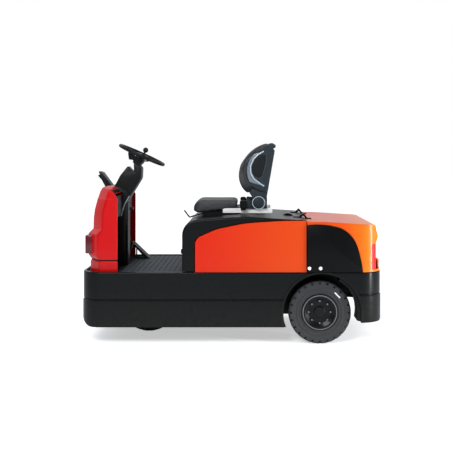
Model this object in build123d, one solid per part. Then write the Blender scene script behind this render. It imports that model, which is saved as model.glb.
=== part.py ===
from build123d import *
import math
import os

# Seated electric tow tractor. Lengths are millimetres and angles are degrees.
# +Z is up, -X is the way it drives, +Y is the driver's right, and Z = 0 is the floor.

# Overall
NOSE_X = -1030.0
TAIL_X = 1030.0
WIDTH = 1000.0
OVER = 20.0
SEAT_GAP = 0.3
RUN_GAP = 0.08

# Skirt
SKIRT_TOP = 490.0
SKIRT_WALL = 18.0
FRONT_LOW = 120.0
FRONT_SPLIT = 300.0
REAR_LOW = 150.0
REAR_SPLIT = 335.0
NOSE_CORNER_R = 150.0
TAIL_CORNER_R = 165.0
LOWER_INSET = 2.0
UPPER_INSET = 6.0
GROOVE_INSET = 13.0
GROOVE_HALF = 3.0
GROOVE_CHAMFER = 5.0
SKIRT_TOP_R = 8.0
NOSE_UNDER_R = 85.0
TAIL_UNDER_R = 30.0

# Wheel arches
ARCH_X = 611.0
ARCH_Z = 218.0
ARCH_R = 262.0
ARCH_LIP = 13.0
ARCH_TOP_CLEAR = 2.0
LINER_T = 5.0
LINER_IN = 300.0

# Wheels
TYRE_OD = 425.0
TYRE_W = 158.0
TYRE_SIDE_R = 12.0
TYRE_GROOVE = 11.0
LUG_COUNT = 24
LUG_GAP_W = 17.0
LUG_REACH = 42.0
RIM_OD = 238.0
RIM_LIP = 8.0
RIM_DISH = 30.0
RIM_PLATE = 10.0
HUB_R = 38.0
HUB_OUT = 18.0
BOLT_COUNT = 8
BOLT_PCD = 150.0
BOLT_R = 9.0
BOLT_OUT = 9.0
REAR_AXLE_X = 598.0
REAR_TYRE_OUT = WIDTH / 2 - 35.0
FRONT_AXLE_X = -610.0
AXLE_Z = TYRE_OD / 2

# Chassis
FRAME_TOP = 470.0
RAIL_IN = 250.0
RAIL_OUT = 290.0
RAIL_LOW = 320.0
RAIL_FRONT = -940.0
RAIL_REAR = 1006.0
BEAM_W = 40.0
BEAM_PLACES = (-940.0, -330.0, 920.0)
TURN_PLATE_T = 12.0
TURN_PLATE_HALF = 250.0
BULKHEAD_X = 530.0
BULKHEAD_T = 8.0
BULKHEAD_HALF = WIDTH / 2 - 70.0
BULKHEAD_DROP = 26.0
PAN_FLOOR = 168.0
PAN_T = 10.0
PAN_FRONT = -300.0
PAN_REAR = 360.0

# Steered fork and its slewing ring
RING_T = 12.0
RING_R = 130.0
RING_BORE_R = 80.0
CROWN_T = 12.0
CROWN_R = 128.0
FORK_LEG_T = 12.0
FORK_LEG_GAP = 11.0
FORK_LEG_W = 90.0
FRONT_PIN_R = 15.0

# Deck
DECK_T = 8.0
MAT_T = 8.0
MAT_FRONT = -762.0
MAT_REAR = -345.0
MAT_HALF = WIDTH / 2 - 45.0
MAT_RIB_PITCH = 36.0
MAT_RIB_W = 20.0
MAT_RIB_H = 3.0

# Cowl
COWL_HALF = WIDTH / 2 - 60.0
COWL_WALL = 12.0
COWL_REAR_X = -800.0
COWL_CORNER_R = 130.0
COWL_FLANGE_W = 115.0
COWL_FLANGE_T = 16.0
COWL_SPLIT = 562.0
COWL_SPLIT_HALF = 5.0
COWL_EDGE_R = 10.0
LAMP_Y = COWL_HALF - 145.0
LAMP_W = 150.0
LAMP_LOW = 589.0
LAMP_HIGH = 710.0
LAMP_OUT = 20.0
LAMP_CORNER_R = 22.0

# Console, dash and column
CONSOLE_HALF = 75.0
CONSOLE_REAR = -766.0
CONSOLE_FRONT = -880.0
CONSOLE_R = 30.0
CONSOLE_TOP = 930.0
DASH_GAP = 2.0
SHROUD_HALF = 62.0
SHROUD_R = 16.0
HEAD_HALF = 52.0
WHEEL_X = -671.0
WHEEL_Z = 1282.0
WHEEL_TILT = 24.5
WHEEL_R = 171.0
WHEEL_TUBE_R = 12.0
WHEEL_HUB_R = 44.0
WHEEL_HUB_T = 34.0
WHEEL_DISH = 26.0
SPOKE_R = 9.0
KNOB_R = 20.0
KNOB_STEM_R = 7.0
KNOB_HEIGHT = 52.0
CLIP_HALF = 105.0
CLIP_T = 12.0
CLIP_SLOT = 90.0

# Pedals
PEDAL_W = 110.0
PEDAL_Y = WIDTH / 2 - 135.0 - PEDAL_W
BRAKE_W = 64.0
BRAKE_Y = PEDAL_Y - 41.0 - BRAKE_W

# Side panels, hood and rear cover
SIDE_HALF = WIDTH / 2 - 12.0
PANEL_T = 12.0
PANEL_GAP = 6.0
SEAM_X = 508.0
SEAM_HALF = 3.0
HOOD_FRONT_X = -336.0
HOOD_LOW = 495.0
HOOD_T = 12.0
HOOD_FRONT_R = 105.0
HOOD_CREST_X = 70.0
HOOD_CREST_Z = 866.0
HOOD_REAR_Z = 840.0
HOOD_SHOULDER_Z = 838.0
HOOD_EDGE_R = 14.0
HUMP_X = 397.0
HUMP_R = 52.0
HUMP_HALF = 120.0
COVER_T = 10.0
COVER_TOP_Z = 832.0
COVER_TAIL_Z = 808.0
COVER_TAIL_X = 978.0
COVER_FALL = 3.2
COVER_CORNER_R = 140.0
COVER_ROLL_R = 18.0
COVER_LEDGE_X = 1018.0
SIDE_COVER_T = 6.0
BOLT_HEAD_R = 12.0
BOLT_HEAD_T = 5.0
TAIL_LAMP_IN = SIDE_HALF - 153.0
TAIL_LAMP_X = 949.0
TAIL_LAMP_OUT_X = 982.0
TAIL_LAMP_LOW = 504.0
TAIL_LAMP_HIGH = 678.0

# Hood hinge
HINGE_X = 500.0
HINGE_Z = 862.0
HINGE_R = 9.0
HINGE_PIN_R = 4.0
HINGE_Y = 230.0
HINGE_LEAF_T = 5.0
HINGE_OPEN_DEG = 60.0
KNUCKLE = 22.0
KNUCKLE_GAP = 0.4

# Seat
SEAT_HALF = 232.0
RAIL_Y = 205.0
SEAT_RAIL_W = 24.0
SEAT_RAIL_T = 20.0
CUSHION_LOW = 898.0
CUSHION_TOP = 956.0
CUSHION_R = 26.0
BACK_HALF = 205.0
SHELL_HALF = 222.0
PIVOT_X = 186.0
PIVOT_Z = 944.0
PIVOT_R = 49.0
PIVOT_CAP_R = 38.0

# Drive
HOUSING_R = 55.0
BULGE_R = 120.0
PAD_HALF_X = 35.0
MOTOR_R = 85.0
MOTOR_TOP = 462.0
BATTERY_HALF = 245.0
BATTERY_LOW = PAN_FLOOR + PAN_T
BATTERY_TOP = 690.0
BATTERY_FRONT = -285.0
BATTERY_REAR = 345.0

# Tow hitch
HITCH_Z = 330.0
HITCH_HALF = 75.0
HITCH_PLATE_T = 16.0
HITCH_GAP = 70.0
HITCH_BACK_X = 940.0
HITCH_LIP_X = 1022.0
HITCH_PIN_X = 985.0
HITCH_PIN_R = 12.0
HITCH_WINDOW_HALF = 100.0
HITCH_WINDOW_Z = 80.0

UP = Axis.Z


def outline(corners):
    """Face in the sketch plane from rows of (across, up, corner radius)."""
    face = make_face(Polyline(*[(across, up) for across, up, _ in corners], close=True))
    for across, up, radius in corners:
        if radius:
            corner = face.vertices().sort_by_distance((across, up, 0))[0]
            face = fillet(corner, radius)
    return face


def side_slab(face, low, high):
    """A side view face, carried across the machine from y = low to y = high."""
    return Pos(0, high, 0) * extrude(Plane.XZ * face, high - low)


def slab(face, low, high):
    """A plan view face, raised from z = low to z = high."""
    return Pos(0, 0, low) * extrude(face, high - low)


def block(x_low, x_high, y_low, y_high, z_low, z_high):
    """A box between two corners."""
    size = (x_high - x_low, y_high - y_low, z_high - z_low)
    middle = ((x_low + x_high) / 2, (y_low + y_high) / 2, (z_low + z_high) / 2)
    return Pos(*middle) * Box(*size)


def rod(start, end, radius):
    """A round bar from one point to another."""
    run = Vector(*end) - Vector(*start)
    plane = Plane(origin=start, z_dir=run)
    return extrude(plane * Circle(radius), run.length)


def cross_rod(x, z, radius, low, high):
    """A round bar along Y."""
    return rod((x, low, z), (x, high, z), radius)


def both_sides(shape):
    """The shape and its mirror image on the other side of the machine."""
    return [shape, shape.mirror(Plane.XZ)]


def write(shape, name):
    """One STEP file for each sub-part."""
    if isinstance(shape, list):
        shape = Compound(children=shape)
    export_step(shape, f"parts/{name}.step")


# Skirt
def plan_face(inset):
    """Plan outline of the skirt, drawn this far inside its widest line."""
    half = WIDTH / 2 - inset
    nose = NOSE_X + inset
    tail = TAIL_X - inset
    nose_r = NOSE_CORNER_R - inset
    tail_r = TAIL_CORNER_R - inset
    return outline([
        (nose, -half, nose_r),
        (tail, -half, tail_r),
        (tail, half, tail_r),
        (nose, half, nose_r),
    ])


def skirt_ring(low, split):
    """Two bands with a groove between them, rounded at the top, all the way round."""
    lower = slab(plan_face(LOWER_INSET), low, split - GROOVE_HALF)
    lower = chamfer(lower.edges().group_by(UP)[-1], GROOVE_CHAMFER)
    upper = slab(plan_face(UPPER_INSET), split + GROOVE_HALF, SKIRT_TOP)
    upper = fillet(upper.edges().group_by(UP)[-1], SKIRT_TOP_R)
    upper = chamfer(upper.edges().group_by(UP)[0], GROOVE_CHAMFER)
    neck = slab(plan_face(GROOVE_INSET), split - GROOVE_HALF, split + GROOVE_HALF)
    return lower + neck + upper


def skirt_void(nose_r, tail_r, low):
    """The space inside the skirt, which curls under at the nose and the tail."""
    inner = SKIRT_WALL + UPPER_INSET
    nose = NOSE_X + inner
    tail = TAIL_X - inner
    side = outline([
        (nose, SKIRT_TOP + OVER, 0),
        (nose, low + SKIRT_WALL, nose_r - SKIRT_WALL),
        (nose + nose_r, low + SKIRT_WALL, 0),
        (nose + nose_r, low - OVER, 0),
        (tail - tail_r, low - OVER, 0),
        (tail - tail_r, low + SKIRT_WALL, 0),
        (tail, low + SKIRT_WALL, tail_r - SKIRT_WALL),
        (tail, SKIRT_TOP + OVER, 0),
    ])
    void = slab(plan_face(inner), low - OVER, SKIRT_TOP + OVER)
    return void & side_slab(side, -WIDTH, WIDTH)


def arch_face(radius):
    """Side view of a wheel opening: a half round above its centre, with straight sides down."""
    face = Pos(ARCH_X, ARCH_Z) * Circle(radius)
    return face + Pos(ARCH_X, ARCH_Z - WIDTH / 2) * Rectangle(2 * radius, WIDTH)


def arch_void(radius, width):
    """Wheel opening through the whole machine."""
    return side_slab(arch_face(radius), -width, width)


def skirt(low, split, x_low, x_high):
    """The part of the skirt between two stations along the machine."""
    side = outline([
        (NOSE_X, SKIRT_TOP + OVER, 0),
        (NOSE_X, low, NOSE_UNDER_R),
        (TAIL_X, low, TAIL_UNDER_R),
        (TAIL_X, SKIRT_TOP + OVER, 0),
    ])
    shell = skirt_ring(low, split) & side_slab(side, -WIDTH, WIDTH)
    shell -= skirt_void(NOSE_UNDER_R, TAIL_UNDER_R, low)
    shell -= arch_void(ARCH_R + ARCH_LIP, WIDTH)
    return shell & block(x_low, x_high, -WIDTH, WIDTH, 0, WIDTH)


def front_skirt():
    """Black skirt round the nose and both sides of the deck."""
    return skirt(FRONT_LOW, FRONT_SPLIT, NOSE_X - OVER, ARCH_X)


def rear_skirt():
    """Black skirt round the tail, with a window for the tow hitch."""
    shell = skirt(REAR_LOW, REAR_SPLIT, ARCH_X, TAIL_X + OVER)
    window = outline([
        (-HITCH_WINDOW_HALF, HITCH_Z - HITCH_WINDOW_Z, LAMP_CORNER_R),
        (HITCH_WINDOW_HALF, HITCH_Z - HITCH_WINDOW_Z, LAMP_CORNER_R),
        (HITCH_WINDOW_HALF, HITCH_Z + HITCH_WINDOW_Z, LAMP_CORNER_R),
        (-HITCH_WINDOW_HALF, HITCH_Z + HITCH_WINDOW_Z, LAMP_CORNER_R),
    ])
    hole = Pos(HITCH_BACK_X, 0, 0) * extrude(Plane.YZ * window, WIDTH)
    return shell - hole


def wheel_arch():
    """Lip of the left wheel arch with its liner behind it, open at its foot."""
    out = -WIDTH / 2
    inn = -(WIDTH / 2 - UPPER_INSET - SKIRT_WALL)
    top = SKIRT_TOP - ARCH_TOP_CLEAR
    lip = arch_void(ARCH_R + ARCH_LIP, WIDTH) - arch_void(ARCH_R, 2 * WIDTH)
    front = block(ARCH_X - WIDTH, ARCH_X, out, inn, FRONT_LOW, top)
    rear = block(ARCH_X, ARCH_X + WIDTH, out, inn, REAR_LOW, top)
    liner = side_slab(arch_face(ARCH_R + LINER_T) - arch_face(ARCH_R), out + UPPER_INSET, -LINER_IN)
    liner &= block(ARCH_X - WIDTH, ARCH_X + WIDTH, -WIDTH, WIDTH, REAR_LOW, top)
    return (lip & (front + rear)) + liner


# Wheels
def tyre_profile():
    """Half section of the solid tyre, radius across and width up, centred."""
    half = TYRE_W / 2
    inner = RIM_OD / 2 - RIM_LIP
    outer = TYRE_OD / 2
    return [
        (inner, -half + 14.0),
        (inner + 14.0, -half + 4.0),
        (outer - 52.0, -half),
        (outer - 26.0, -half + 1.0),
        (outer - 8.0, -half + 12.0),
        (outer, -half + 26.0),
        (outer, half - 26.0),
        (outer - 8.0, half - 12.0),
        (outer - 26.0, half - 1.0),
        (outer - 52.0, half),
        (inner + 14.0, half - 4.0),
        (inner, half - 14.0),
    ]


def tyre():
    """Solid industrial tyre about the Y axis, with lugs along both shoulders."""
    points = [(radius, width, 0) for radius, width in tyre_profile()]
    section = Plane.XY * make_face(Polyline(*points, close=True))
    body = revolve(section, Axis.Y)
    half = TYRE_W / 2
    notch = Box(2 * TYRE_GROOVE, LUG_REACH + OVER, LUG_GAP_W)
    notches = []
    for row in range(LUG_COUNT):
        for side, offset in ((-1, 0.0), (1, 0.5)):
            turn = (row + offset) * 360.0 / LUG_COUNT
            y_place = side * (half - LUG_REACH + (LUG_REACH + OVER) / 2)
            notches.append(Rot(0, turn, 0) * Pos(TYRE_OD / 2, y_place, 0) * notch)
    return body - notches


def rim():
    """Pressed steel rim about the Y axis, its dished face towards -Y, with hub and bolts."""
    half = TYRE_W / 2
    seat = RIM_OD / 2 - RIM_LIP
    band = [
        (seat - 9.0, -half + 2.0),
        (seat + RIM_LIP, -half + 2.0),
        (seat + RIM_LIP, -half + 7.5),
        (seat, -half + 7.5),
        (seat, half - 2.0),
        (seat - 9.0, half - 2.0),
    ]
    face_y = -half + RIM_DISH
    disc = [
        (0.0, face_y),
        (seat - 34.0, face_y),
        (seat - 5.0, face_y - 16.0),
        (seat - 5.0, face_y - 16.0 + RIM_PLATE + 2.0),
        (seat - 34.0, face_y + RIM_PLATE),
        (0.0, face_y + RIM_PLATE),
    ]
    parts = []
    for rows in (band, disc):
        section = make_face(Polyline(*[(r, w, 0) for r, w in rows], close=True))
        parts.append(revolve(section, Axis.Y))
    wheel = parts[0] + parts[1]
    hub = cross_rod(0, 0, HUB_R, face_y - HUB_OUT, face_y + RIM_PLATE)
    hub = fillet(hub.edges().sort_by(Axis.Y)[0], 6.0)
    wheel += hub
    for row in range(BOLT_COUNT):
        turn = row * 360.0 / BOLT_COUNT
        bolt = cross_rod(BOLT_PCD / 2, 0, BOLT_R, face_y - BOLT_OUT, face_y + 1.0)
        wheel += Rot(0, turn, 0) * bolt
    return wheel


def wheel_pair(x, y, face_out):
    """Tyre and rim at one axle end; face_out is -1 for a dish on the -Y side."""
    rubber = Pos(x, y, AXLE_Z) * tyre()
    steel = rim()
    if face_out > 0:
        steel = steel.mirror(Plane.XZ)
    return rubber, Pos(x, y, AXLE_Z) * steel


# Chassis
def chassis():
    """Welded frame: two rails, cross beams, battery pan, slewing plate and bulkhead."""
    edge = WIDTH / 2 - UPPER_INSET - SKIRT_WALL
    rails = both_sides(block(RAIL_FRONT, RAIL_REAR, RAIL_IN, RAIL_OUT, RAIL_LOW, FRAME_TOP))
    frame = rails[0] + rails[1]
    for place in BEAM_PLACES:
        frame += block(place, place + BEAM_W, -RAIL_IN, RAIL_IN, RAIL_LOW, FRAME_TOP)
    for place in (BEAM_PLACES[1], 290.0):
        arm = block(place, place + BEAM_W, RAIL_OUT, edge, RAIL_LOW + 60.0, FRAME_TOP)
        for side in both_sides(arm):
            frame += side
    top = block(
        FRONT_AXLE_X - TURN_PLATE_HALF, BEAM_PLACES[1],
        -RAIL_IN, RAIL_IN, FRAME_TOP - TURN_PLATE_T, FRAME_TOP,
    )
    frame += top
    frame += block(PAN_FRONT, PAN_REAR, -RAIL_OUT, RAIL_OUT, PAN_FLOOR, PAN_FLOOR + PAN_T)
    cheek = block(PAN_FRONT, PAN_REAR, RAIL_OUT - PAN_T, RAIL_OUT, PAN_FLOOR, RAIL_LOW)
    for side in both_sides(cheek):
        frame += side
    bulkhead = block(
        BULKHEAD_X, BULKHEAD_X + BULKHEAD_T, -BULKHEAD_HALF, BULKHEAD_HALF,
        SKIRT_TOP, COVER_TOP_Z - BULKHEAD_DROP,
    )
    foot = block(
        BULKHEAD_X, BULKHEAD_X + BULKHEAD_T, -RAIL_OUT, RAIL_OUT, FRAME_TOP, SKIRT_TOP,
    )
    frame += bulkhead + foot
    return frame


def deck():
    """Floor plate of the driver's place, laid on the frame inside the skirt."""
    plate = slab(plan_face(UPPER_INSET + SKIRT_WALL + SEAT_GAP), FRAME_TOP, FRAME_TOP + DECK_T)
    return plate & block(NOSE_X, BEAM_PLACES[1] + BEAM_W, -WIDTH, WIDTH, 0, WIDTH)


def mat():
    """Ribbed rubber mat on the deck, its ribs across the machine."""
    low = FRAME_TOP + DECK_T
    pad = block(MAT_FRONT, MAT_REAR, -MAT_HALF, MAT_HALF, low, low + MAT_T - MAT_RIB_H)
    count = int((MAT_REAR - MAT_FRONT) // MAT_RIB_PITCH)
    start = (MAT_REAR + MAT_FRONT) / 2 - (count - 1) * MAT_RIB_PITCH / 2
    for row in range(count):
        middle = start + row * MAT_RIB_PITCH
        pad += block(
            middle - MAT_RIB_W / 2, middle + MAT_RIB_W / 2, -MAT_HALF + 12.0, MAT_HALF - 12.0,
            low, low + MAT_T,
        )
    return pad


# Cowl
COWL_FRONT = [
    (-984.0, COWL_SPLIT + COWL_SPLIT_HALF, 0.0),
    (-1004.0, 585.0, 12.0),
    (-1000.0, 738.0, 14.0),
    (-972.0, 768.0, 20.0),
    (-966.0, 907.0, 120.0),
    (-945.0, 987.0, 60.0),
    (-914.0, 1058.0, 22.0),
]


def cowl_side(grow):
    """Side view of the upper cowl; grow opens its rear and foot past their edges."""
    return outline(COWL_FRONT + [
        (-826.0, 1048.0, 40.0),
        (COWL_REAR_X + grow, 975.0, 30.0),
        (COWL_REAR_X + grow, COWL_SPLIT + COWL_SPLIT_HALF, 0.0),
    ])


def cowl_plan(front, inset):
    """Plan of the cowl with rounded front corners."""
    half = COWL_HALF - inset
    radius = COWL_CORNER_R - inset
    return outline([
        (front + inset, -half, radius),
        (COWL_REAR_X + OVER, -half, 0),
        (COWL_REAR_X + OVER, half, 0),
        (front + inset, half, radius),
    ])


def front_cowl():
    """Red front cowl: a thin shell, open to the driver between two flanges."""
    front = COWL_FRONT[1][0]
    plan = slab(cowl_plan(front, 0.0), COWL_SPLIT, COWL_FRONT[-1][1] + OVER)
    shell = plan & side_slab(cowl_side(0.0), -WIDTH, WIDTH)
    hollow_plan = slab(cowl_plan(front, COWL_WALL), COWL_SPLIT, COWL_FRONT[-1][1] + OVER)
    hollow = offset(cowl_side(3 * COWL_WALL), -COWL_WALL)
    hollow += Rectangle(170.0, 60.0).moved(Location((-880.0, COWL_SPLIT + COWL_SPLIT_HALF)))
    shell -= hollow_plan & side_slab(hollow, -WIDTH, WIDTH)
    top_cut = block(
        -1040.0, COWL_REAR_X + OVER, -(COWL_HALF - 60.0), COWL_HALF - 60.0,
        990.0, 1100.0,
    )
    keep = block(-1040.0, -906.0, -WIDTH, WIDTH, 0, 1200.0)
    shell -= top_cut - keep
    flange = block(
        COWL_REAR_X - COWL_FLANGE_T, COWL_REAR_X, COWL_HALF - COWL_FLANGE_W, COWL_HALF - COWL_WALL / 2,
        COWL_SPLIT + COWL_SPLIT_HALF, 950.0,
    )
    for side in both_sides(flange):
        shell += side
    return shell


def cowl_base():
    """Red plinth under the cowl, standing on the deck."""
    low = FRAME_TOP + DECK_T
    high = COWL_SPLIT - COWL_SPLIT_HALF
    front = -992.0
    ring = slab(cowl_plan(front, 0.0), low, high)
    ring -= slab(cowl_plan(front, COWL_WALL), low - OVER, high + OVER)
    ring &= block(NOSE_X, COWL_REAR_X, -WIDTH, WIDTH, 0, WIDTH)
    flange = block(
        COWL_REAR_X - COWL_FLANGE_T, COWL_REAR_X, COWL_HALF - COWL_FLANGE_W, COWL_HALF - COWL_WALL / 2,
        low, high,
    )
    for side in both_sides(flange):
        ring += side
    return ring


def headlamps():
    """Two square lamp blocks proud of the cowl's lamp band."""
    face = outline([
        (-LAMP_W / 2, LAMP_LOW, LAMP_CORNER_R),
        (LAMP_W / 2, LAMP_LOW, LAMP_CORNER_R),
        (LAMP_W / 2, LAMP_HIGH, LAMP_CORNER_R),
        (-LAMP_W / 2, LAMP_HIGH, LAMP_CORNER_R),
    ])
    front = COWL_FRONT[1][0] - LAMP_OUT
    body = Pos(front, 0, 0) * extrude(Plane.YZ * face, LAMP_OUT + OVER)
    body = fillet(body.edges().group_by(Axis.X)[0], 8.0)
    lamp = Pos(0, -LAMP_Y, 0) * body - front_cowl()
    lamp = lamp.solids().sort_by(Axis.X)[0]
    return both_sides(lamp)


# Dash, console and column
DASH_SIDE = [
    (-904.0, 832.0, 0.0),
    (-830.0, 832.0, 8.0),
    (-764.0, 950.0, 20.0),
    (-764.0, 992.0, 22.0),
    (-826.0, 1045.0, 30.0),
    (-904.0, 1050.0, 0.0),
]


def dash():
    """Black dash moulding between the cowl's flanges, its knee face sloping forward."""
    inner = COWL_HALF - COWL_FLANGE_W - DASH_GAP
    body = side_slab(outline(DASH_SIDE), -inner, inner)
    ends = [face for face in body.faces().filter_by(Axis.Y)]
    for end in ends:
        body = chamfer(end.outer_wire().edges().filter_by(Axis.Z).sort_by(Axis.X)[-1], 4.0)
    wing_rear = COWL_REAR_X - COWL_FLANGE_T - DASH_GAP
    wing = COWL_HALF - COWL_WALL
    body += block(-904.0, wing_rear, -wing, wing, 1000.0, 1036.0)
    return body - front_cowl()


def console():
    """Black post from the deck up to the dash."""
    low = FRAME_TOP + DECK_T
    face = outline([
        (CONSOLE_FRONT, -CONSOLE_HALF, 0),
        (CONSOLE_REAR, -CONSOLE_HALF, CONSOLE_R),
        (CONSOLE_REAR, CONSOLE_HALF, CONSOLE_R),
        (CONSOLE_FRONT, CONSOLE_HALF, 0),
    ])
    post = slab(face, low, CONSOLE_TOP)
    post -= side_slab(outline(DASH_SIDE), -WIDTH, WIDTH)
    return post.solids().sort_by(UP)[0]


def head_plane():
    """Plane of the steering wheel: its z axis is the column's axis."""
    tilt = math.radians(WHEEL_TILT)
    along = (math.cos(tilt), 0, -math.sin(tilt))
    axis = (math.sin(tilt), 0, math.cos(tilt))
    return Plane(origin=(WHEEL_X, 0, WHEEL_Z), x_dir=along, z_dir=axis)


HEAD_SIDE = [
    (-98.0, -17.0, 6.0),
    (-54.0, -17.0, 0.0),
    (-50.0, -27.0, 0.0),
    (32.0, -27.0, 5.0),
    (32.0, -50.0, 4.0),
    (22.0, -75.0, 0.0),
    (-32.0, -75.0, 0.0),
    (-38.0, -58.0, 0.0),
    (-68.0, -66.0, 5.0),
]


def column_point(along, axial):
    """Place, as x and z, of a point given in the wheel's plane and along the column."""
    tilt = math.radians(WHEEL_TILT)
    x = WHEEL_X + along * math.cos(tilt) + axial * math.sin(tilt)
    z = WHEEL_Z - along * math.sin(tilt) + axial * math.cos(tilt)
    return x, z


def column_head():
    """Switch housing under the steering wheel, bored for its shaft, with a stalk each side."""
    rows = [(*column_point(along, axial), radius) for along, axial, radius in HEAD_SIDE]
    body = side_slab(outline(rows), -HEAD_HALF, HEAD_HALF)
    shaft_low = HEAD_SIDE[5][1] + 10.0
    bore = Pos(0, 0, shaft_low) * Cylinder(
        SHAFT_R + RUN_GAP, WIDTH, align=(Align.CENTER, Align.CENTER, Align.MIN)
    )
    body -= head_plane().location * bore
    start = column_point(14.0, -42.0)
    end = column_point(44.0, -30.0)
    stalk = rod((start[0], -HEAD_HALF + 4.0, start[1]), (end[0], -HEAD_HALF - 88.0, end[1]), 5.0)
    for side in both_sides(stalk):
        body += side
    return body


SHAFT_R = 14.0

SHROUD_SIDE = [
    (-876.0, 1030.0, 0.0),
    (-822.0, 1131.0, 90.0),
    (-770.0, 1198.0, 40.0),
    (-748.0, 1222.0, 8.0),
    (*column_point(-32.0, -75.0), 0.0),
    (*column_point(22.0, -75.0), 0.0),
    (-664.0, 1192.0, 14.0),
    (-670.0, 1118.0, 60.0),
    (-735.0, 1025.0, 40.0),
    (-772.0, 940.0, 0.0),
    (-876.0, 940.0, 0.0),
]


def shroud():
    """Bottle-shaped cover of the steering column, seated on the dash."""
    body = side_slab(outline(SHROUD_SIDE), -SHROUD_HALF, SHROUD_HALF)
    front = body.edges().filter_by(GeomType.LINE).filter_by(Axis.Y)
    body -= side_slab(outline(DASH_SIDE), -WIDTH, WIDTH)
    body -= front_cowl()
    body -= console()
    body = body.solids().sort_by(SortBy.VOLUME)[-1]
    clamp_x, clamp_z = column_point(20.0, -92.0)
    clamp = cross_rod(clamp_x, clamp_z, 15.0, -SHROUD_HALF - 12.0, SHROUD_HALF + 12.0)
    return body + clamp


def steering_wheel():
    """Round wheel with three spokes, a hub and its shaft, tilted towards the driver."""
    ring = revolve(Plane.XZ * (Pos(WHEEL_R, 0) * Circle(WHEEL_TUBE_R)), Axis.Z)
    wheel = ring
    hub = Pos(0, 0, -22.0) * Cylinder(WHEEL_HUB_R, 28.0, align=(Align.CENTER, Align.CENTER, Align.MIN))
    hub = fillet(hub.edges().sort_by(UP)[-1], 8.0)
    wheel += hub
    for turn in (90.0, 210.0, 330.0):
        spoke = Pos(WHEEL_R / 2 + 10.0, 0, -4.0) * Box(WHEEL_R - 10.0, 30.0, 9.0)
        wheel += Rot(0, 0, turn) * spoke
    shaft = Pos(0, 0, -60.0) * Cylinder(SHAFT_R, 42.0, align=(Align.CENTER, Align.CENTER, Align.MIN))
    wheel += shaft
    return head_plane().location * wheel


def knob():
    """Steering knob above the left side of the rim."""
    turn = -96.0
    x = WHEEL_R * math.cos(math.radians(turn))
    y = WHEEL_R * math.sin(math.radians(turn))
    top = WHEEL_TUBE_R + KNOB_HEIGHT
    rows = [
        (0.0, WHEEL_TUBE_R),
        (13.0, WHEEL_TUBE_R),
        (13.0, WHEEL_TUBE_R + 6.0),
        (KNOB_STEM_R, WHEEL_TUBE_R + 9.0),
        (KNOB_STEM_R, WHEEL_TUBE_R + 20.0),
        (KNOB_R - 4.0, WHEEL_TUBE_R + 24.0),
        (KNOB_R, WHEEL_TUBE_R + 32.0),
        (KNOB_R, top - 12.0),
        (KNOB_R - 7.0, top - 2.0),
        (0.0, top),
    ]
    shape = revolve(Plane.XZ * make_face(Polyline(*rows, close=True)), Axis.Z)
    seat = Pos(0, 0, 0) * revolve(Plane.XZ * (Pos(WHEEL_R, 0) * Circle(WHEEL_TUBE_R)), Axis.Z)
    foot = Pos(x, y, 3.0) * Cylinder(13.0, 9.0 + 3.0, align=(Align.CENTER, Align.CENTER, Align.MIN))
    shape = Pos(x, y, 0) * shape + foot - seat
    shape = shape.solids().sort_by(SortBy.VOLUME)[-1]
    return head_plane().location * shape


def clip_plate():
    """Two-pronged paper clip plate rising forward from the dash."""
    side = outline([
        (-910.0, 1040.0, 0.0),
        (-872.0, 1040.0, 0.0),
        (-912.0, 1103.0, 40.0),
        (-968.0, 1166.0, 6.0),
        (-982.0, 1138.0, 6.0),
        (-951.0, 1103.0, 20.0),
    ])
    plate = side_slab(side, -CLIP_HALF, CLIP_HALF)
    slot = block(-1000.0, -930.0, -CLIP_SLOT / 2, CLIP_SLOT / 2, 1100.0, 1200.0)
    plate -= slot
    plate -= dash()
    plate -= front_cowl()
    return plate.solids().sort_by(SortBy.VOLUME)[-1]


# Pedals
def accelerator():
    """Sloping pedal plate on two triangular side brackets."""
    low = FRAME_TOP + DECK_T + MAT_T
    outer = outline([(-766.0, low, 0), (-646.0, low, 0), (-766.0, 600.0, 0)])
    inner = outline([(-756.0, low + 12.0, 0), (-690.0, low + 12.0, 0), (-756.0, 572.0, 0)])
    y_low = PEDAL_Y
    y_high = PEDAL_Y + PEDAL_W
    cheek = side_slab(outer - inner, y_low, y_low + 6.0)
    cheek += side_slab(outer - inner, y_high - 6.0, y_high)
    plate = outline([(-646.0, low, 0), (-766.0, 600.0, 0), (-766.0, 592.0, 0), (-655.0, low, 0)])
    return cheek + side_slab(plate, y_low, y_high)


def brake():
    """Hanging pedal: a flat arm from the dash and a pad."""
    arm = outline([
        (-862.0, 832.0, 0), (-838.0, 832.0, 0), (-792.0, 690.0, 60), (-772.0, 600.0, 0),
        (-788.0, 600.0, 0), (-812.0, 690.0, 60),
    ])
    middle = BRAKE_Y + BRAKE_W / 2
    body = side_slab(arm, middle - 6.0, middle + 6.0)
    pad = outline([(-790.0, 566.0, 4), (-776.0, 566.0, 4), (-756.0, 626.0, 4), (-770.0, 626.0, 4)])
    return body + side_slab(pad, BRAKE_Y, BRAKE_Y + BRAKE_W)


# Side panels, hood and rear cover
PANEL_SIDE = [
    (-247.0, SKIRT_TOP, 0.0),
    (-247.0, 716.0, 62.0),
    (-105.0, 779.0, 260.0),
    (90.0, 820.0, 900.0),
]


def panel_face(grow):
    """Side view of the orange panel; grow widens its front and top edges."""
    rear = SEAM_X - SEAM_HALF
    rows = [(x, z, radius) for x, z, radius in PANEL_SIDE]
    rows += [(340.0, 836.0, 900.0), (rear, 837.0, 0.0), (rear, SKIRT_TOP, 0.0)]
    face = outline(rows)
    if grow:
        wide = outline([
            (PANEL_SIDE[0][0], SKIRT_TOP - OVER, 0.0)] + rows[1:-2] + [
            (SEAM_X + OVER, 837.0, 0.0),
            (SEAM_X + OVER, SKIRT_TOP - OVER, 0.0),
        ])
        face = offset(wide, grow)
    return face


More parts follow.
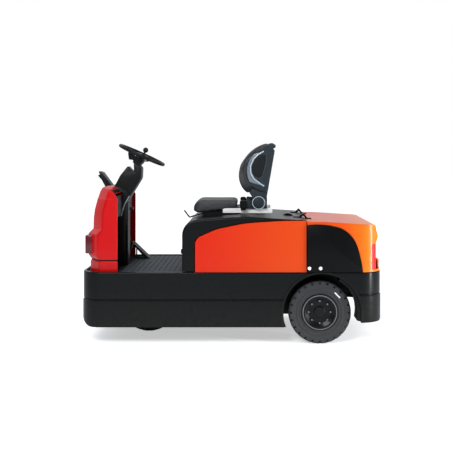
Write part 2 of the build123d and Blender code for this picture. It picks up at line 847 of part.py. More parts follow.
def side_panel():
    """Left orange side panel, standing on the skirt's top edge."""
    panel = side_slab(panel_face(0), -SIDE_HALF, -SIDE_HALF + PANEL_T)
    return panel


HOOD_SIDE = [
    (HOOD_FRONT_X, HOOD_LOW, 0.0),
    (HOOD_FRONT_X, 837.0, HOOD_FRONT_R),
    (HOOD_CREST_X, HOOD_CREST_Z, 1500.0),
    (SEAM_X - SEAM_HALF, HOOD_REAR_Z, 0.0),
    (SEAM_X - SEAM_HALF, HOOD_LOW, 0.0),
]


def hood_block():
    """Outside form of the hood, before it is hollowed."""
    body = side_slab(outline(HOOD_SIDE), -SIDE_HALF, SIDE_HALF)
    edges = []
    for face in (body.faces().sort_by(Axis.Y)[0], body.faces().sort_by(Axis.Y)[-1]):
        for edge in face.edges():
            middle = edge @ 0.5
            low_edge = abs(middle.Z - HOOD_LOW) < 1.0
            rear_edge = abs(middle.X - HOOD_SIDE[-1][0]) < 1.0
            if not low_edge and not rear_edge:
                edges.append(edge)
    return fillet(edges, HOOD_EDGE_R)


def hood_hollow():
    """Space under the hood, open downwards and to the rear."""
    rows = [
        (HOOD_FRONT_X + HOOD_T, HOOD_LOW - OVER, 0.0),
        (HOOD_FRONT_X + HOOD_T, 837.0 - HOOD_T, HOOD_FRONT_R - HOOD_T),
        (HOOD_CREST_X, HOOD_CREST_Z - HOOD_T, 1500.0 - HOOD_T),
        (SEAM_X + OVER, HOOD_REAR_Z - HOOD_T - 1.0, 0.0),
        (SEAM_X + OVER, HOOD_LOW - OVER, 0.0),
    ]
    half = SIDE_HALF - PANEL_T
    return side_slab(outline(rows), -half, half)


def hinge_leaf(x_low, x_high, z_low, knuckles):
    """Flat leaf with a web up to its knuckles, which are rows of (low y, high y)."""
    shape = block(x_low, x_high, knuckles[0][0], knuckles[-1][1], z_low, z_low + HINGE_LEAF_T)
    near = x_low if x_low > HINGE_X else x_high
    for y_low, y_high in knuckles:
        web = outline([
            (near, z_low, 0),
            (near + math.copysign(12.0, near - HINGE_X), z_low + HINGE_LEAF_T, 0),
            (HINGE_X + math.copysign(HINGE_R, near - HINGE_X), HINGE_Z, 0),
            (HINGE_X, HINGE_Z, 0),
        ])
        shape += side_slab(web, y_low, y_high)
        shape += cross_rod(HINGE_X, HINGE_Z, HINGE_R, y_low, y_high)
    return shape


def hood():
    """Black hood under the seat, with its moulded hump and hinge knuckles."""
    outside = hood_block()
    body = outside - hood_hollow()
    grown = panel_face(PANEL_GAP)
    inner = SIDE_HALF - PANEL_T - PANEL_GAP
    body -= side_slab(grown, -WIDTH, -inner)
    body -= side_slab(grown, inner, WIDTH)
    hump = side_slab(Pos(HUMP_X, HOOD_REAR_Z - 30.0) * Circle(HUMP_R), -HUMP_HALF, HUMP_HALF)
    body += hump - hood_hollow()
    for side in (-1, 1):
        y_mid = side * HINGE_Y
        row = [(y_mid - KNUCKLE / 2 + KNUCKLE_GAP, y_mid + KNUCKLE / 2 - KNUCKLE_GAP)]
        leaf = block(430.0, 484.0, y_mid - 40.0, y_mid + 40.0, HOOD_REAR_Z - 8.0, HOOD_REAR_Z + 10.0)
        web = outline([
            (450.0, HOOD_REAR_Z - 4.0, 0), (486.0, HOOD_REAR_Z - 4.0, 0),
            (HINGE_X, HINGE_Z, 0), (HINGE_X - 4.0, HINGE_Z + HINGE_R - 2.0, 0),
        ])
        body += leaf - hood_hollow()
        body += side_slab(web, *row[0])
        body += cross_rod(HINGE_X, HINGE_Z, HINGE_R, *row[0])
        body -= cross_rod(HINGE_X, HINGE_Z, HINGE_PIN_R + RUN_GAP, y_mid - 60.0, y_mid + 60.0)
    return body


def hood_hinge():
    """Fixed leaves of the hood's two hinges, on the rear cover, each with its pin."""
    found = []
    for side in (-1, 1):
        y_mid = side * HINGE_Y
        rows = [
            (y_mid - 1.5 * KNUCKLE, y_mid - KNUCKLE / 2),
            (y_mid + KNUCKLE / 2, y_mid + 1.5 * KNUCKLE),
        ]
        low = COVER_TOP_Z
        leaf = block(514.0, 556.0, rows[0][0], rows[1][1], low - 4.0, low + HINGE_LEAF_T)
        for y_low, y_high in rows:
            web = outline([
                (516.0, low, 0), (532.0, low + HINGE_LEAF_T, 0),
                (HINGE_X + HINGE_R - 2.0, HINGE_Z + 4.0, 0), (HINGE_X + 2.0, HINGE_Z - 6.0, 0),
            ])
            leaf += side_slab(web, y_low, y_high)
            leaf += cross_rod(HINGE_X, HINGE_Z, HINGE_R, y_low, y_high)
        leaf += cross_rod(HINGE_X, HINGE_Z, HINGE_PIN_R, rows[0][0] - 4.0, rows[1][1] + 4.0)
        leaf -= cover_block()
        found.append(leaf.solids().sort_by(SortBy.VOLUME)[-1])
    return found


COVER_SIDE = [
    (640.0, 829.0, 900.0),
    (COVER_TAIL_X, COVER_TAIL_Z, 16.0),
    (984.0, 772.0, 0.0),
    (998.0, 726.0, 8.0),
    (982.0, 681.0, 8.0),
    (982.0, 583.0, 8.0),
    (COVER_LEDGE_X, 560.0, 8.0),
]


def cover_face(front, low):
    """Side view of the rear cover down to a given height and forward to a given station."""
    return outline(
        [(front, low, 0.0), (front, COVER_TOP_Z, 0.0)]
        + COVER_SIDE
        + [(COVER_LEDGE_X, low, 0.0)]
    )


def cover_plan(inset, front):
    """Plan of the rear cover with its rounded tail."""
    half = SIDE_HALF - inset
    tail = COVER_LEDGE_X - inset
    radius = COVER_CORNER_R - inset
    return outline([
        (front, -half, 0),
        (tail, -half, radius),
        (tail, half, radius),
        (front, half, 0),
    ])


def cover_block():
    """Outside form of the rear cover."""
    front = SEAM_X + SEAM_HALF
    roof = side_slab(
        outline([
            (front, SKIRT_TOP, 0.0),
            (front, COVER_TOP_Z, 0.0),
            (COVER_SIDE[0]),
            (TAIL_X, COVER_TAIL_Z - COVER_FALL, 0.0),
            (TAIL_X, SKIRT_TOP, 0.0),
        ]),
        -SIDE_HALF,
        SIDE_HALF,
    )
    rolled = []
    for edge in roof.edges():
        middle = edge @ 0.5
        if middle.Z > COVER_TAIL_Z - COVER_FALL - 1.0 and abs(middle.Y) > SIDE_HALF - 1.0:
            rolled.append(edge)
    roof = fillet(rolled, COVER_ROLL_R)
    body = roof & side_slab(cover_face(front, SKIRT_TOP), -SIDE_HALF, SIDE_HALF)
    return body & slab(cover_plan(0.0, front), SKIRT_TOP, COVER_TOP_Z + OVER)


def rear_cover():
    """Orange rear cover: a shell open to the front and below, with lamp pockets."""
    shell = cover_block()
    front = SEAM_X - 3 * COVER_T
    hollow = side_slab(offset(cover_face(front, SKIRT_TOP - 3 * COVER_T), -COVER_T), -WIDTH, WIDTH)
    shell -= hollow & slab(cover_plan(COVER_T, front), 0, WIDTH)
    for pocket in both_sides(lamp_pocket(0.0)):
        shell -= pocket
    return shell


def lamp_pocket(gap):
    """Block that a rear lamp fills at the left corner, less a gap all round."""
    return block(
        TAIL_LAMP_X + gap, TAIL_X, -WIDTH / 2, -TAIL_LAMP_IN - gap,
        TAIL_LAMP_LOW + gap, TAIL_LAMP_HIGH - gap,
    )


def tail_lamps():
    """Upright lamps let into the rear corners, following the corner's curve."""
    body = slab(cover_plan(4.0, SEAM_X), SKIRT_TOP, COVER_TOP_Z)
    body -= slab(cover_plan(40.0, SEAM_X), SKIRT_TOP - OVER, COVER_TOP_Z + OVER)
    lamp = body & lamp_pocket(SEAT_GAP)
    lamp &= block(TAIL_LAMP_X, TAIL_LAMP_OUT_X, -WIDTH, WIDTH, 0, WIDTH)
    return both_sides(lamp)


SIDE_COVER = [
    (SEAM_X + 2.0, SKIRT_TOP, 0.0),
    (SEAM_X + 2.0, 806.0, 6.0),
    (640.0, 806.0, 120.0),
    (774.0, 780.0, 90.0),
    (862.0, 640.0, 160.0),
    (893.0, SKIRT_TOP, 0.0),
]


def side_cover():
    """Black D-shaped plate on the left side of the rear cover, with two round bolt heads."""
    out = -SIDE_HALF - SIDE_COVER_T
    plate = side_slab(outline(SIDE_COVER), out, -SIDE_HALF)
    plate = chamfer(plate.faces().sort_by(Axis.Y)[0].edges(), 2.0)
    for x in (524.0, 599.0):
        head = cross_rod(x, 517.0, BOLT_HEAD_R, out - BOLT_HEAD_T, out)
        plate += fillet(head.edges().sort_by(Axis.Y)[0], 2.0)
    return plate


# Drive
def rear_axle():
    """Axle housing with a round gear case, spring pads and stub ends for the hubs."""
    inner = REAR_TYRE_OUT - TYRE_W
    housing = cross_rod(REAR_AXLE_X, AXLE_Z, HOUSING_R, -RAIL_OUT, RAIL_OUT)
    bulge = cross_rod(REAR_AXLE_X, AXLE_Z, BULGE_R, -60.0, 60.0)
    bulge = chamfer(bulge.edges(), 24.0)
    body = housing + bulge
    for side in both_sides(block(
        REAR_AXLE_X - PAD_HALF_X, REAR_AXLE_X + PAD_HALF_X, RAIL_IN, RAIL_OUT, AXLE_Z, RAIL_LOW,
    )):
        body += side
    drum = cross_rod(REAR_AXLE_X, AXLE_Z, 88.0, RAIL_OUT - 40.0, RAIL_OUT + 8.0)
    stub_out = REAR_TYRE_OUT - RIM_DISH - RIM_PLATE - SEAT_GAP
    stub = cross_rod(REAR_AXLE_X, AXLE_Z, 34.0, RAIL_OUT, stub_out)
    for shape in (drum, stub):
        for side in both_sides(shape):
            body += side
    return body


def drive_motor():
    """Plain motor block standing on the gear case."""
    motor = rod((REAR_AXLE_X, 0, AXLE_Z + MOTOR_R), (REAR_AXLE_X, 0, MOTOR_TOP), MOTOR_R)
    motor -= rear_axle()
    return motor.solids().sort_by(SortBy.VOLUME)[-1]


def battery():
    """Traction battery, one plain block."""
    return block(
        BATTERY_FRONT, BATTERY_REAR, -BATTERY_HALF, BATTERY_HALF, BATTERY_LOW, BATTERY_TOP,
    )


def slewing_ring():
    """Flat ring under the frame that the steered fork hangs from."""
    top = FRAME_TOP - TURN_PLATE_T
    ring = Cylinder(RING_R, RING_T) - Cylinder(RING_BORE_R, 2 * RING_T)
    return Pos(FRONT_AXLE_X, 0, top - RING_T / 2) * ring


def fork():
    """Steered fork: a round crown with a spigot in the ring, and two legs."""
    crown_top = FRAME_TOP - TURN_PLATE_T - RING_T - SEAT_GAP
    crown_low = crown_top - CROWN_T
    body = Pos(FRONT_AXLE_X, 0, (crown_top + crown_low) / 2) * Cylinder(CROWN_R, CROWN_T)
    spigot = Cylinder(RING_BORE_R - RUN_GAP, RING_T, align=(Align.CENTER, Align.CENTER, Align.MIN))
    body += Pos(FRONT_AXLE_X, 0, crown_top - 2.0) * spigot
    inner = TYRE_W / 2 + FORK_LEG_GAP
    face = outline([
        (FRONT_AXLE_X - FORK_LEG_W / 2, AXLE_Z - FORK_LEG_W / 2, FORK_LEG_W / 2 - 1.0),
        (FRONT_AXLE_X + FORK_LEG_W / 2, AXLE_Z - FORK_LEG_W / 2, FORK_LEG_W / 2 - 1.0),
        (FRONT_AXLE_X + FORK_LEG_W / 2 + 20.0, crown_low, 0),
        (FRONT_AXLE_X - FORK_LEG_W / 2 - 20.0, crown_low, 0),
    ])
    leg = side_slab(face, inner, inner + FORK_LEG_T)
    leg -= cross_rod(FRONT_AXLE_X, AXLE_Z, FRONT_PIN_R, 0, WIDTH)
    for side in both_sides(leg):
        body += side
    return body


def front_pin():
    """Axle pin of the steered wheel, with a head each side."""
    outer = TYRE_W / 2 + FORK_LEG_GAP + FORK_LEG_T
    pin = cross_rod(FRONT_AXLE_X, AXLE_Z, FRONT_PIN_R, -outer, outer)
    for side in both_sides(cross_rod(FRONT_AXLE_X, AXLE_Z, FRONT_PIN_R + 10.0, outer, outer + 10.0)):
        pin += side
    return pin


def front_rim():
    """Steel rim of the steered wheel: a band, a centre disc and a long hub on the pin."""
    steel = rim()
    half = TYRE_W / 2
    hub = cross_rod(0, 0, HUB_R, -half - FORK_LEG_GAP + 1.0, half + FORK_LEG_GAP - 1.0)
    steel += hub
    steel -= cross_rod(0, 0, FRONT_PIN_R + RUN_GAP, -WIDTH, WIDTH)
    return Pos(FRONT_AXLE_X, 0, AXLE_Z) * steel


# Tow hitch
def tow_hitch():
    """Tow jaw: a back plate on the rear beam, a lower and an upper plate, open to the rear."""
    back_in = BEAM_PLACES[2] + BEAM_W
    low = HITCH_Z - HITCH_GAP / 2 - HITCH_PLATE_T
    high = HITCH_Z + HITCH_GAP / 2 + HITCH_PLATE_T
    jaw = block(back_in, back_in + HITCH_PLATE_T, -HITCH_HALF, HITCH_HALF, low - 20.0, high)
    plate = outline([
        (back_in, -HITCH_HALF, 0),
        (HITCH_LIP_X, -HITCH_HALF, 45.0),
        (HITCH_LIP_X, HITCH_HALF, 45.0),
        (back_in, HITCH_HALF, 0),
    ])
    jaw += slab(plate, low, low + HITCH_PLATE_T)
    jaw += slab(plate, high - HITCH_PLATE_T, high)
    bore = Pos(HITCH_PIN_X, 0, HITCH_Z) * Cylinder(HITCH_PIN_R, WIDTH)
    return jaw - bore


def tow_pin():
    """Drop pin of the tow jaw with a collar and a loop handle."""
    low = HITCH_Z - HITCH_GAP / 2 - HITCH_PLATE_T - 6.0
    high = HITCH_Z + HITCH_GAP / 2 + HITCH_PLATE_T
    pin = rod((HITCH_PIN_X, 0, low), (HITCH_PIN_X, 0, high + 26.0), HITCH_PIN_R)
    pin += rod((HITCH_PIN_X, 0, high), (HITCH_PIN_X, 0, high + 10.0), HITCH_PIN_R + 10.0)
    loop = Plane.YZ * (Circle(22.0) - Circle(15.0))
    pin += Pos(HITCH_PIN_X - 3.5, 0, high + 38.0) * extrude(loop, 7.0)
    return pin


# Seat
def seat_base():
    """Dark seat pan between the runners, seated on the hood."""
    half = RAIL_Y - SEAT_RAIL_W / 2
    side = outline([
        (-214.0, 820.0, 0),
        (-214.0, 876.5, 0),
        (-66.0, 892.0, 0),
        (44.0, 908.0, 0),
        (60.0, 908.0, 0),
        (60.0, 820.0, 0),
    ])
    return side_slab(side, -half, half) - hood_block()


def runner():
    """Left seat runner, a bright bar on two feet."""
    y_low = -RAIL_Y - SEAT_RAIL_W / 2
    y_high = -RAIL_Y + SEAT_RAIL_W / 2
    bar = outline([(-69.0, 868.0, 2), (283.0, 887.0, 2), (283.0, 907.0, 2), (-69.0, 888.0, 2)])
    shape = side_slab(bar, y_low, y_high)
    for x in (20.0, 230.0):
        shape += block(x - 18.0, x + 18.0, y_low + 4.0, y_high - 4.0, 830.0, 880.0)
    return shape - hood_block()


def seat_rails():
    """Both runners and the release bar behind them."""
    return both_sides(runner())


def cushion():
    """Seat cushion."""
    side = outline([
        (-289.0, 874.0, 12.0),
        (-289.0, 956.0, 58.0),
        (44.0, CUSHION_TOP, 14.0),
        (44.0, 908.0, 0.0),
        (-66.0, 892.0, 0.0),
        (-214.0, 876.5, 0.0),
    ])
    body = side_slab(side, -SEAT_HALF, SEAT_HALF)
    plan = outline([
        (-289.0, -SEAT_HALF, 70.0), (80.0, -SEAT_HALF, 0), (80.0, SEAT_HALF, 0), (-289.0, SEAT_HALF, 70.0),
    ])
    body &= slab(plan, 800.0, 1000.0)
    return body


SHELL_SIDE = [
    (158.0, 918.0, 0.0),
    (158.0, 996.0, 40.0),
    (106.0, 1090.0, 120.0),
    (120.0, 1215.0, 200.0),
    (236.0, 1342.0, 0.0),
    (262.0, 1369.0, 6.0),
    (312.0, 1348.0, 26.0),
    (291.0, 1250.0, 400.0),
    (243.0, 1010.0, 120.0),
    (246.0, 918.0, 0.0),
]

PAD_SIDE = [
    (112.0, 998.0, 8.0),
    (44.0, 1085.0, 90.0),
    (52.0, 1215.0, 130.0),
    (160.0, 1318.0, 200.0),
    (254.0, 1369.0, 3.0),
    (234.0, 1342.0, 0.0),
    (118.0, 1215.0, 200.0),
    (104.0, 1090.0, 120.0),
    (155.0, 998.0, 0.0),
]


def back_front_view(half, low, high, radius):
    """Front view of the backrest, rounded at the top."""
    face = outline([(-half, low, 12.0), (half, low, 12.0), (half, high, radius), (-half, high, radius)])
    return Pos(-WIDTH / 2, 0, 0) * extrude(Plane.YZ * face, 2 * WIDTH)


def backrest_shell():
    """Grey shell of the backrest."""
    body = side_slab(outline(SHELL_SIDE), -SHELL_HALF, SHELL_HALF)
    return body & back_front_view(SHELL_HALF, 918.0, 1371.0, 110.0)


def backrest_pad():
    """Black pad of the backrest."""
    body = side_slab(outline(PAD_SIDE), -BACK_HALF, BACK_HALF)
    body &= back_front_view(BACK_HALF, 990.0, 1371.0, 95.0)
    return body - backrest_shell()


def recliner():
    """Recliner plate and round cap on both sides of the backrest."""
    inn = SHELL_HALF
    out = SHELL_HALF + 10.0
    arm = outline([
        (150.0, 900.0, 0), (250.0, 903.0, 0), (232.0, 960.0, 20), (196.0, 1000.0, 16), (150.0, 985.0, 30),
    ])
    plate = side_slab(arm, -out, -inn)
    plate += cross_rod(PIVOT_X, PIVOT_Z, PIVOT_R, -out - 6.0, -inn)
    cap = cross_rod(PIVOT_X, PIVOT_Z, PIVOT_CAP_R, -out - 14.0, -out)
    plate += fillet(cap.edges().sort_by(Axis.Y)[0], 6.0)
    foot = block(150.0, 250.0, -out, -RAIL_Y + SEAT_RAIL_W / 2, 890.0, 918.0)
    plate += foot
    plate -= seat_rails()[0]
    plate -= backrest_shell()
    plate = plate.solids().sort_by(SortBy.VOLUME)[-1]
    return both_sides(plate)


def seat_belt():
    """Belt reel on the left and buckle on the right of the seat."""
    y_low = -SEAT_HALF - 26.0
    y_high = -RAIL_Y - SEAT_RAIL_W / 2
    reel = outline([(56.0, 905.0, 6), (104.0, 905.0, 6), (96.0, 962.0, 14), (50.0, 962.0, 14)])
    body = side_slab(reel, y_low, y_high)
    tongue = block(60.0, 96.0, y_low + 4.0, -RAIL_Y, 890.0, 910.0)
    body += tongue
    body -= seat_rails()[0]
    body = body.solids().sort_by(SortBy.VOLUME)[-1]
    return both_sides(body)


def seat_lever():
    """Bent release lever at the front of the seat pan."""
    route = [(-346.0, 886.0), (-308.0, 836.0), (-262.0, 852.0), (-214.0, 864.0)]
    y = -160.0
    path = FilletPolyline(*[(x, y, z) for x, z in route], radius=10.0)
    plane = Plane(origin=path @ 0, z_dir=path % 0)
    return sweep(plane * Circle(5.0), path) - seat_base()


def hood_latch():
    """Round pull knob on the hood's front face."""
    z = 572.0
    stem = rod((HOOD_FRONT_X, 0, z), (HOOD_FRONT_X - 30.0, 0, z), 8.0)
    knob_end = rod((HOOD_FRONT_X - 28.0, 0, z), (HOOD_FRONT_X - 48.0, 0, z), 18.0)
    knob_end = fillet(knob_end.edges(), 6.0)
    plate = rod((HOOD_FRONT_X, 0, z), (HOOD_FRONT_X - 5.0, 0, z), 26.0)
    return stem + knob_end + plate


def main():
    os.makedirs("parts", exist_ok=True)
    write(front_skirt(), "skirt_front")
    write(rear_skirt(), "skirt_rear")
    arch = wheel_arch()
    write(both_sides(arch), "wheel_arches")
    write(chassis(), "chassis_frame")
    write(deck(), "deck_plate")
    write(mat(), "floor_mat")
    write(front_cowl(), "front_cowl")
    write(cowl_base(), "front_cowl_base")
    write(headlamps(), "headlamps")
    write(dash(), "dash_panel")
    write(console(), "leg_console")
    write(shroud(), "column_shroud")
    write(column_head(), "column_head")
    write(clip_plate(), "document_clip")
    write([accelerator(), brake()], "pedals")
    write(both_sides(side_panel()), "side_panels")
    write(rear_cover(), "rear_cover")
    write(both_sides(side_cover()), "rear_side_covers")
    write(tail_lamps(), "tail_lamps")
    write(hood_hinge(), "hood_hinge")
    write(rear_axle(), "rear_axle")
    write(drive_motor(), "drive_motor")
    write(battery(), "battery")
    write(slewing_ring(), "turntable_ring")
    write(tow_hitch(), "tow_hitch")
    write(tow_pin(), "tow_pin")
    write(fork(), "steer_fork")
    write(front_pin(), "front_axle_pin")
    write(Pos(FRONT_AXLE_X, 0, AXLE_Z) * tyre(), "front_tyre")
    write(front_rim(), "front_rim")
    rear_y = REAR_TYRE_OUT - TYRE_W / 2
    for name, side in (("rear_left", -1), ("rear_right", 1)):
        rubber, steel = wheel_pair(REAR_AXLE_X, side * rear_y, side)
        write(rubber, f"{name}_tyre")
        write(steel, f"{name}_rim")
    write(steering_wheel(), "steering_wheel")
    write(knob(), "steering_knob")
    write(hood(), "seat_hood")
    write(hood_latch(), "hood_latch")
    write(seat_base(), "seat_base")
    write(seat_rails(), "seat_rails")
    write(seat_lever(), "seat_lever")
    write(cushion(), "seat_cushion")
    write(backrest_shell(), "backrest_shell")
    write(backrest_pad(), "backrest_pad")
    write(recliner(), "recliner")
    write(seat_belt(), "seat_belt")


main()
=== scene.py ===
import logging
import math
from dataclasses import dataclass, field
from enum import Enum
from typing import Sequence

import bmesh
import bpy
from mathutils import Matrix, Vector


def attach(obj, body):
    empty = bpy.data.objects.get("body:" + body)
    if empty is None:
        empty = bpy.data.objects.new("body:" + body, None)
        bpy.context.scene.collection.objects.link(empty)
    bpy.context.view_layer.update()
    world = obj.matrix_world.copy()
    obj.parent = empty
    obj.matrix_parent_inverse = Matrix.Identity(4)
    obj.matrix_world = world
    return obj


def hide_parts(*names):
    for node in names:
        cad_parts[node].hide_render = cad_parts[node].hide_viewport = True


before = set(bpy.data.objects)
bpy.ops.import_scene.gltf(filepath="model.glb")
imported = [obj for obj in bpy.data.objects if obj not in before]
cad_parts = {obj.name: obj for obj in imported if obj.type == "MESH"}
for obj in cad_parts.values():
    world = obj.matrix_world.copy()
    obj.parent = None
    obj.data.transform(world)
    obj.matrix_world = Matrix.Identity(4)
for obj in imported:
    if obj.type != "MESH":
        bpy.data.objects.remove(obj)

LOG = logging.getLogger("tow_tractor")
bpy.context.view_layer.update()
MM = 0.001
Number = int | float
Point = tuple[float, float, float]
Colour = tuple[float, float, float]
Corner = tuple[float, float, float]
Flat = tuple[float, float]
Arc = tuple[Flat, Flat, Flat]
SIDES = (("near", -1.0), ("far", 1.0))


def srgb(red: int, green: int, blue: int) -> Colour:
    """Turns a screen colour into the linear colour that a shader takes.

    Args:
        red: red, 0 to 255.
        green: green, 0 to 255.
        blue: blue, 0 to 255.

    Returns:
        The three linear values.
    """
    values = []
    for level in (red, green, blue):
        part = level / 255.0
        values.append(part / 12.92 if part <= 0.04045 else ((part + 0.055) / 1.055) ** 2.4)
    return values[0], values[1], values[2]


# Shader graph
class Wire:
    """One output socket of a shader node, used in plain arithmetic."""

    def __init__(self, graph: "Graph", socket: bpy.types.NodeSocket) -> None:
        """Keeps the graph and the socket."""
        self.graph = graph
        self.socket = socket

    def _with(self, operation: str, first: object, second: object) -> "Wire":
        """Adds one Math node on two values."""
        return self.graph.node("ShaderNodeMath", {"operation": operation}, {0: first, 1: second})

    def __add__(self, other: object) -> "Wire":
        """Sum."""
        return self._with("ADD", self, other)

    def __rsub__(self, other: object) -> "Wire":
        """Difference with the wire on the right."""
        return self._with("SUBTRACT", other, self)

    def __mul__(self, other: object) -> "Wire":
        """Product."""
        return self._with("MULTIPLY", self, other)

    def ramp(self, low: Number, high: Number) -> "Wire":
        """Smooth step from 0 at low to 1 at high.

        Args:
            low: the value that gives 0.
            high: the value that gives 1.

        Returns:
            The stepped value.
        """
        return self.graph.node(
            "ShaderNodeMapRange",
            {"interpolation_type": "SMOOTHSTEP"},
            {0: self, 1: low, 2: high, 3: 0.0, 4: 1.0},
        )


class Graph:
    """The node tree of one material or of the world, with a method that adds any node."""

    def __init__(self, owner: bpy.types.Material | bpy.types.World) -> None:
        """Starts from the tree that its owner comes with."""
        owner.use_nodes = True
        self.tree = owner.node_tree

    def shade(self, values: dict[str, object]) -> None:
        """Sets or links inputs of the material's principled shader by name."""
        for name, value in values.items():
            self.feed(self.tree.nodes["Principled BSDF"].inputs[name], value)

    def node(
        self,
        kind: str,
        settings: dict[str, object] | None = None,
        inputs: dict[object, object] | None = None,
        output: object = 0,
    ) -> Wire:
        """Adds a node.

        Args:
            kind: the node's type.
            settings: its properties, set before its sockets.
            inputs: socket name or number to a value or a wire.
            output: name or number of the output that is returned.

        Returns:
            The chosen output.
        """
        made = self.tree.nodes.new(kind)
        for name, value in (settings or {}).items():
            setattr(made, name, value)
        for name, value in (inputs or {}).items():
            self.feed(made.inputs[name], value)
        return Wire(self, made.outputs[output])

    def feed(self, socket: bpy.types.NodeSocket, value: object) -> None:
        """Links a wire to a socket, or sets the socket's own value."""
        if isinstance(value, Wire):
            self.tree.links.new(value.socket, socket)
        elif isinstance(value, tuple) and len(value) == 3 and socket.type == "RGBA":
            socket.default_value = (*value, 1.0)
        else:
            socket.default_value = value

    def place(self) -> Wire:
        """Object coordinates, in metres in the tractor's own frame."""
        return self.node("ShaderNodeTexCoord", output="Object")

    def axis(self, name: str) -> Wire:
        """One of the object coordinates.

        Args:
            name: X, Y or Z.

        Returns:
            The coordinate as a value.
        """
        return self.node("ShaderNodeSeparateXYZ", inputs={0: self.place()}, output=name)

    def noise(self, scale: Number, detail: Number, roughness: Number) -> Wire:
        """Cloudy noise from 0 to 1 over the object.

        Args:
            scale: clouds to the metre.
            detail: number of finer octaves.
            roughness: how strong the finer octaves are.

        Returns:
            The noise as a value.
        """
        return self.node(
            "ShaderNodeTexNoise",
            inputs={"Vector": self.place(), "Scale": scale, "Detail": detail, "Roughness": roughness},
        )

    def mix(self, share: object, first: object, second: object) -> Wire:
        """Mixes two colours.

        Args:
            share: how much of the second, 0 to 1.
            first: the first colour.
            second: the second colour.

        Returns:
            The mixed colour.
        """
        return self.node(
            "ShaderNodeMix", {"data_type": "RGBA"}, {0: share, 6: first, 7: second}, output=2
        )

    def bump(self, height: object, strength: Number, distance: Number) -> Wire:
        """Turns a height into a normal.

        Args:
            height: the height, 0 to 1.
            strength: the share of the effect.
            distance: depth in metres of a height of 1.

        Returns:
            The normal.
        """
        return self.node(
            "ShaderNodeBump", inputs={"Height": height, "Strength": strength, "Distance": distance},
        )


class Grain(Enum):
    """Fine relief of a surface."""

    NONE = "none"
    ORANGE_PEEL = "orange peel"
    MOULDED = "moulded plastic"
    HIDE = "vinyl hide"
    CAST = "cast metal"
    BRUSHED = "brushed metal"


# Clouds to the metre, finer octaves and strength of the finer octaves
CLOUD_NOISE = (5.0, 4.0, 0.55)
DUST_NOISE = (26.0, 5.0, 0.65)
SPREAD_NOISE = (11.0, 5.0, 0.55)

# Shares, heights and colour of the clouds, the dust, the spread of roughness and the vinyl's cells
GRAIN_ROUGHNESS = 0.55
CLOUD_DIM = 0.72
DUST_COLOUR = srgb(150, 146, 138)
DUST_FOOT = 0.05
SPREAD = 0.12
COAT_ROUGHNESS = 0.05
HIDE_CELLS = 380.0
HIDE_CREASE = 0.12
HIDE_BUMP = (0.22, 0.0006)

# Clouds to the metre, finer octaves, share of the effect and depth in metres
GRAIN_NOISE: dict[Grain, tuple[float, float, float, float]] = {
    Grain.ORANGE_PEEL: (900.0, 2.0, 0.05, 0.0004),
    Grain.MOULDED: (1600.0, 2.0, 0.16, 0.0004),
    Grain.CAST: (420.0, 4.0, 0.35, 0.0008),
    Grain.BRUSHED: (1200.0, 1.0, 0.06, 0.0003),
}


@dataclass(frozen=True)
class Finish:
    """One surface finish, with everything its shader needs."""

    name: str
    colour: Colour
    roughness: float
    metallic: float = 0.0
    coat: float = 0.0
    grain: Grain = Grain.NONE
    clouds: float = 0.06
    dust: float = 0.0
    dust_top: float = 0.42
    specular: float = 0.16
    far_colour: Colour | None = None
    far_from: float = 0.0
    far_to: float = 1.0

    def colour_wire(self, graph: Graph) -> object:
        """Colour over the surface: a run along the machine, soft clouds and dust near the floor.

        Args:
            graph: the material's graph.

        Returns:
            The colour's wire.
        """
        colour: object = self.colour
        if self.far_colour is not None:
            along = graph.axis("X").ramp(self.far_from, self.far_to)
            colour = graph.mix(along, self.colour, self.far_colour)
        if self.clouds:
            dim = tuple(part * CLOUD_DIM for part in self.colour)
            colour = graph.mix(graph.noise(*CLOUD_NOISE) * self.clouds, colour, dim)
        if self.dust:
            height = 1.0 - graph.axis("Z").ramp(DUST_FOOT, self.dust_top)
            share = height * graph.noise(*DUST_NOISE) * self.dust
            colour = graph.mix(share, colour, DUST_COLOUR)
        return colour

    def relief(self, graph: Graph) -> Wire | None:
        """Fine relief of the surface.

        Args:
            graph: the material's graph.

        Returns:
            The normal, or None where the surface is plain.
        """
        if self.grain is Grain.NONE:
            return None
        if self.grain in GRAIN_NOISE:
            scale, detail, strength, depth = GRAIN_NOISE[self.grain]
            return graph.bump(graph.noise(scale, detail, GRAIN_ROUGHNESS), strength, depth)
        cells = graph.node(
            "ShaderNodeTexVoronoi",
            {"feature": "DISTANCE_TO_EDGE"},
            {"Vector": graph.place(), "Scale": HIDE_CELLS},
        ).ramp(0.0, HIDE_CREASE)
        return graph.bump(cells, *HIDE_BUMP)

    def make(self) -> bpy.types.Material:
        """Builds the material, once.

        Returns:
            The material.
        """
        if self.name in bpy.data.materials:
            return bpy.data.materials[self.name]
        material = bpy.data.materials.new(self.name)
        graph = Graph(material)
        graph.shade({
            "Base Color": self.colour_wire(graph),
            "Metallic": self.metallic,
            "Roughness": graph.noise(*SPREAD_NOISE) * SPREAD + (self.roughness - SPREAD / 2),
            "Coat Weight": self.coat,
            "Coat Roughness": COAT_ROUGHNESS,
            "Specular IOR Level": self.specular,
        })
        normal = self.relief(graph)
        if normal is not None:
            graph.shade({"Normal": normal})
        return material


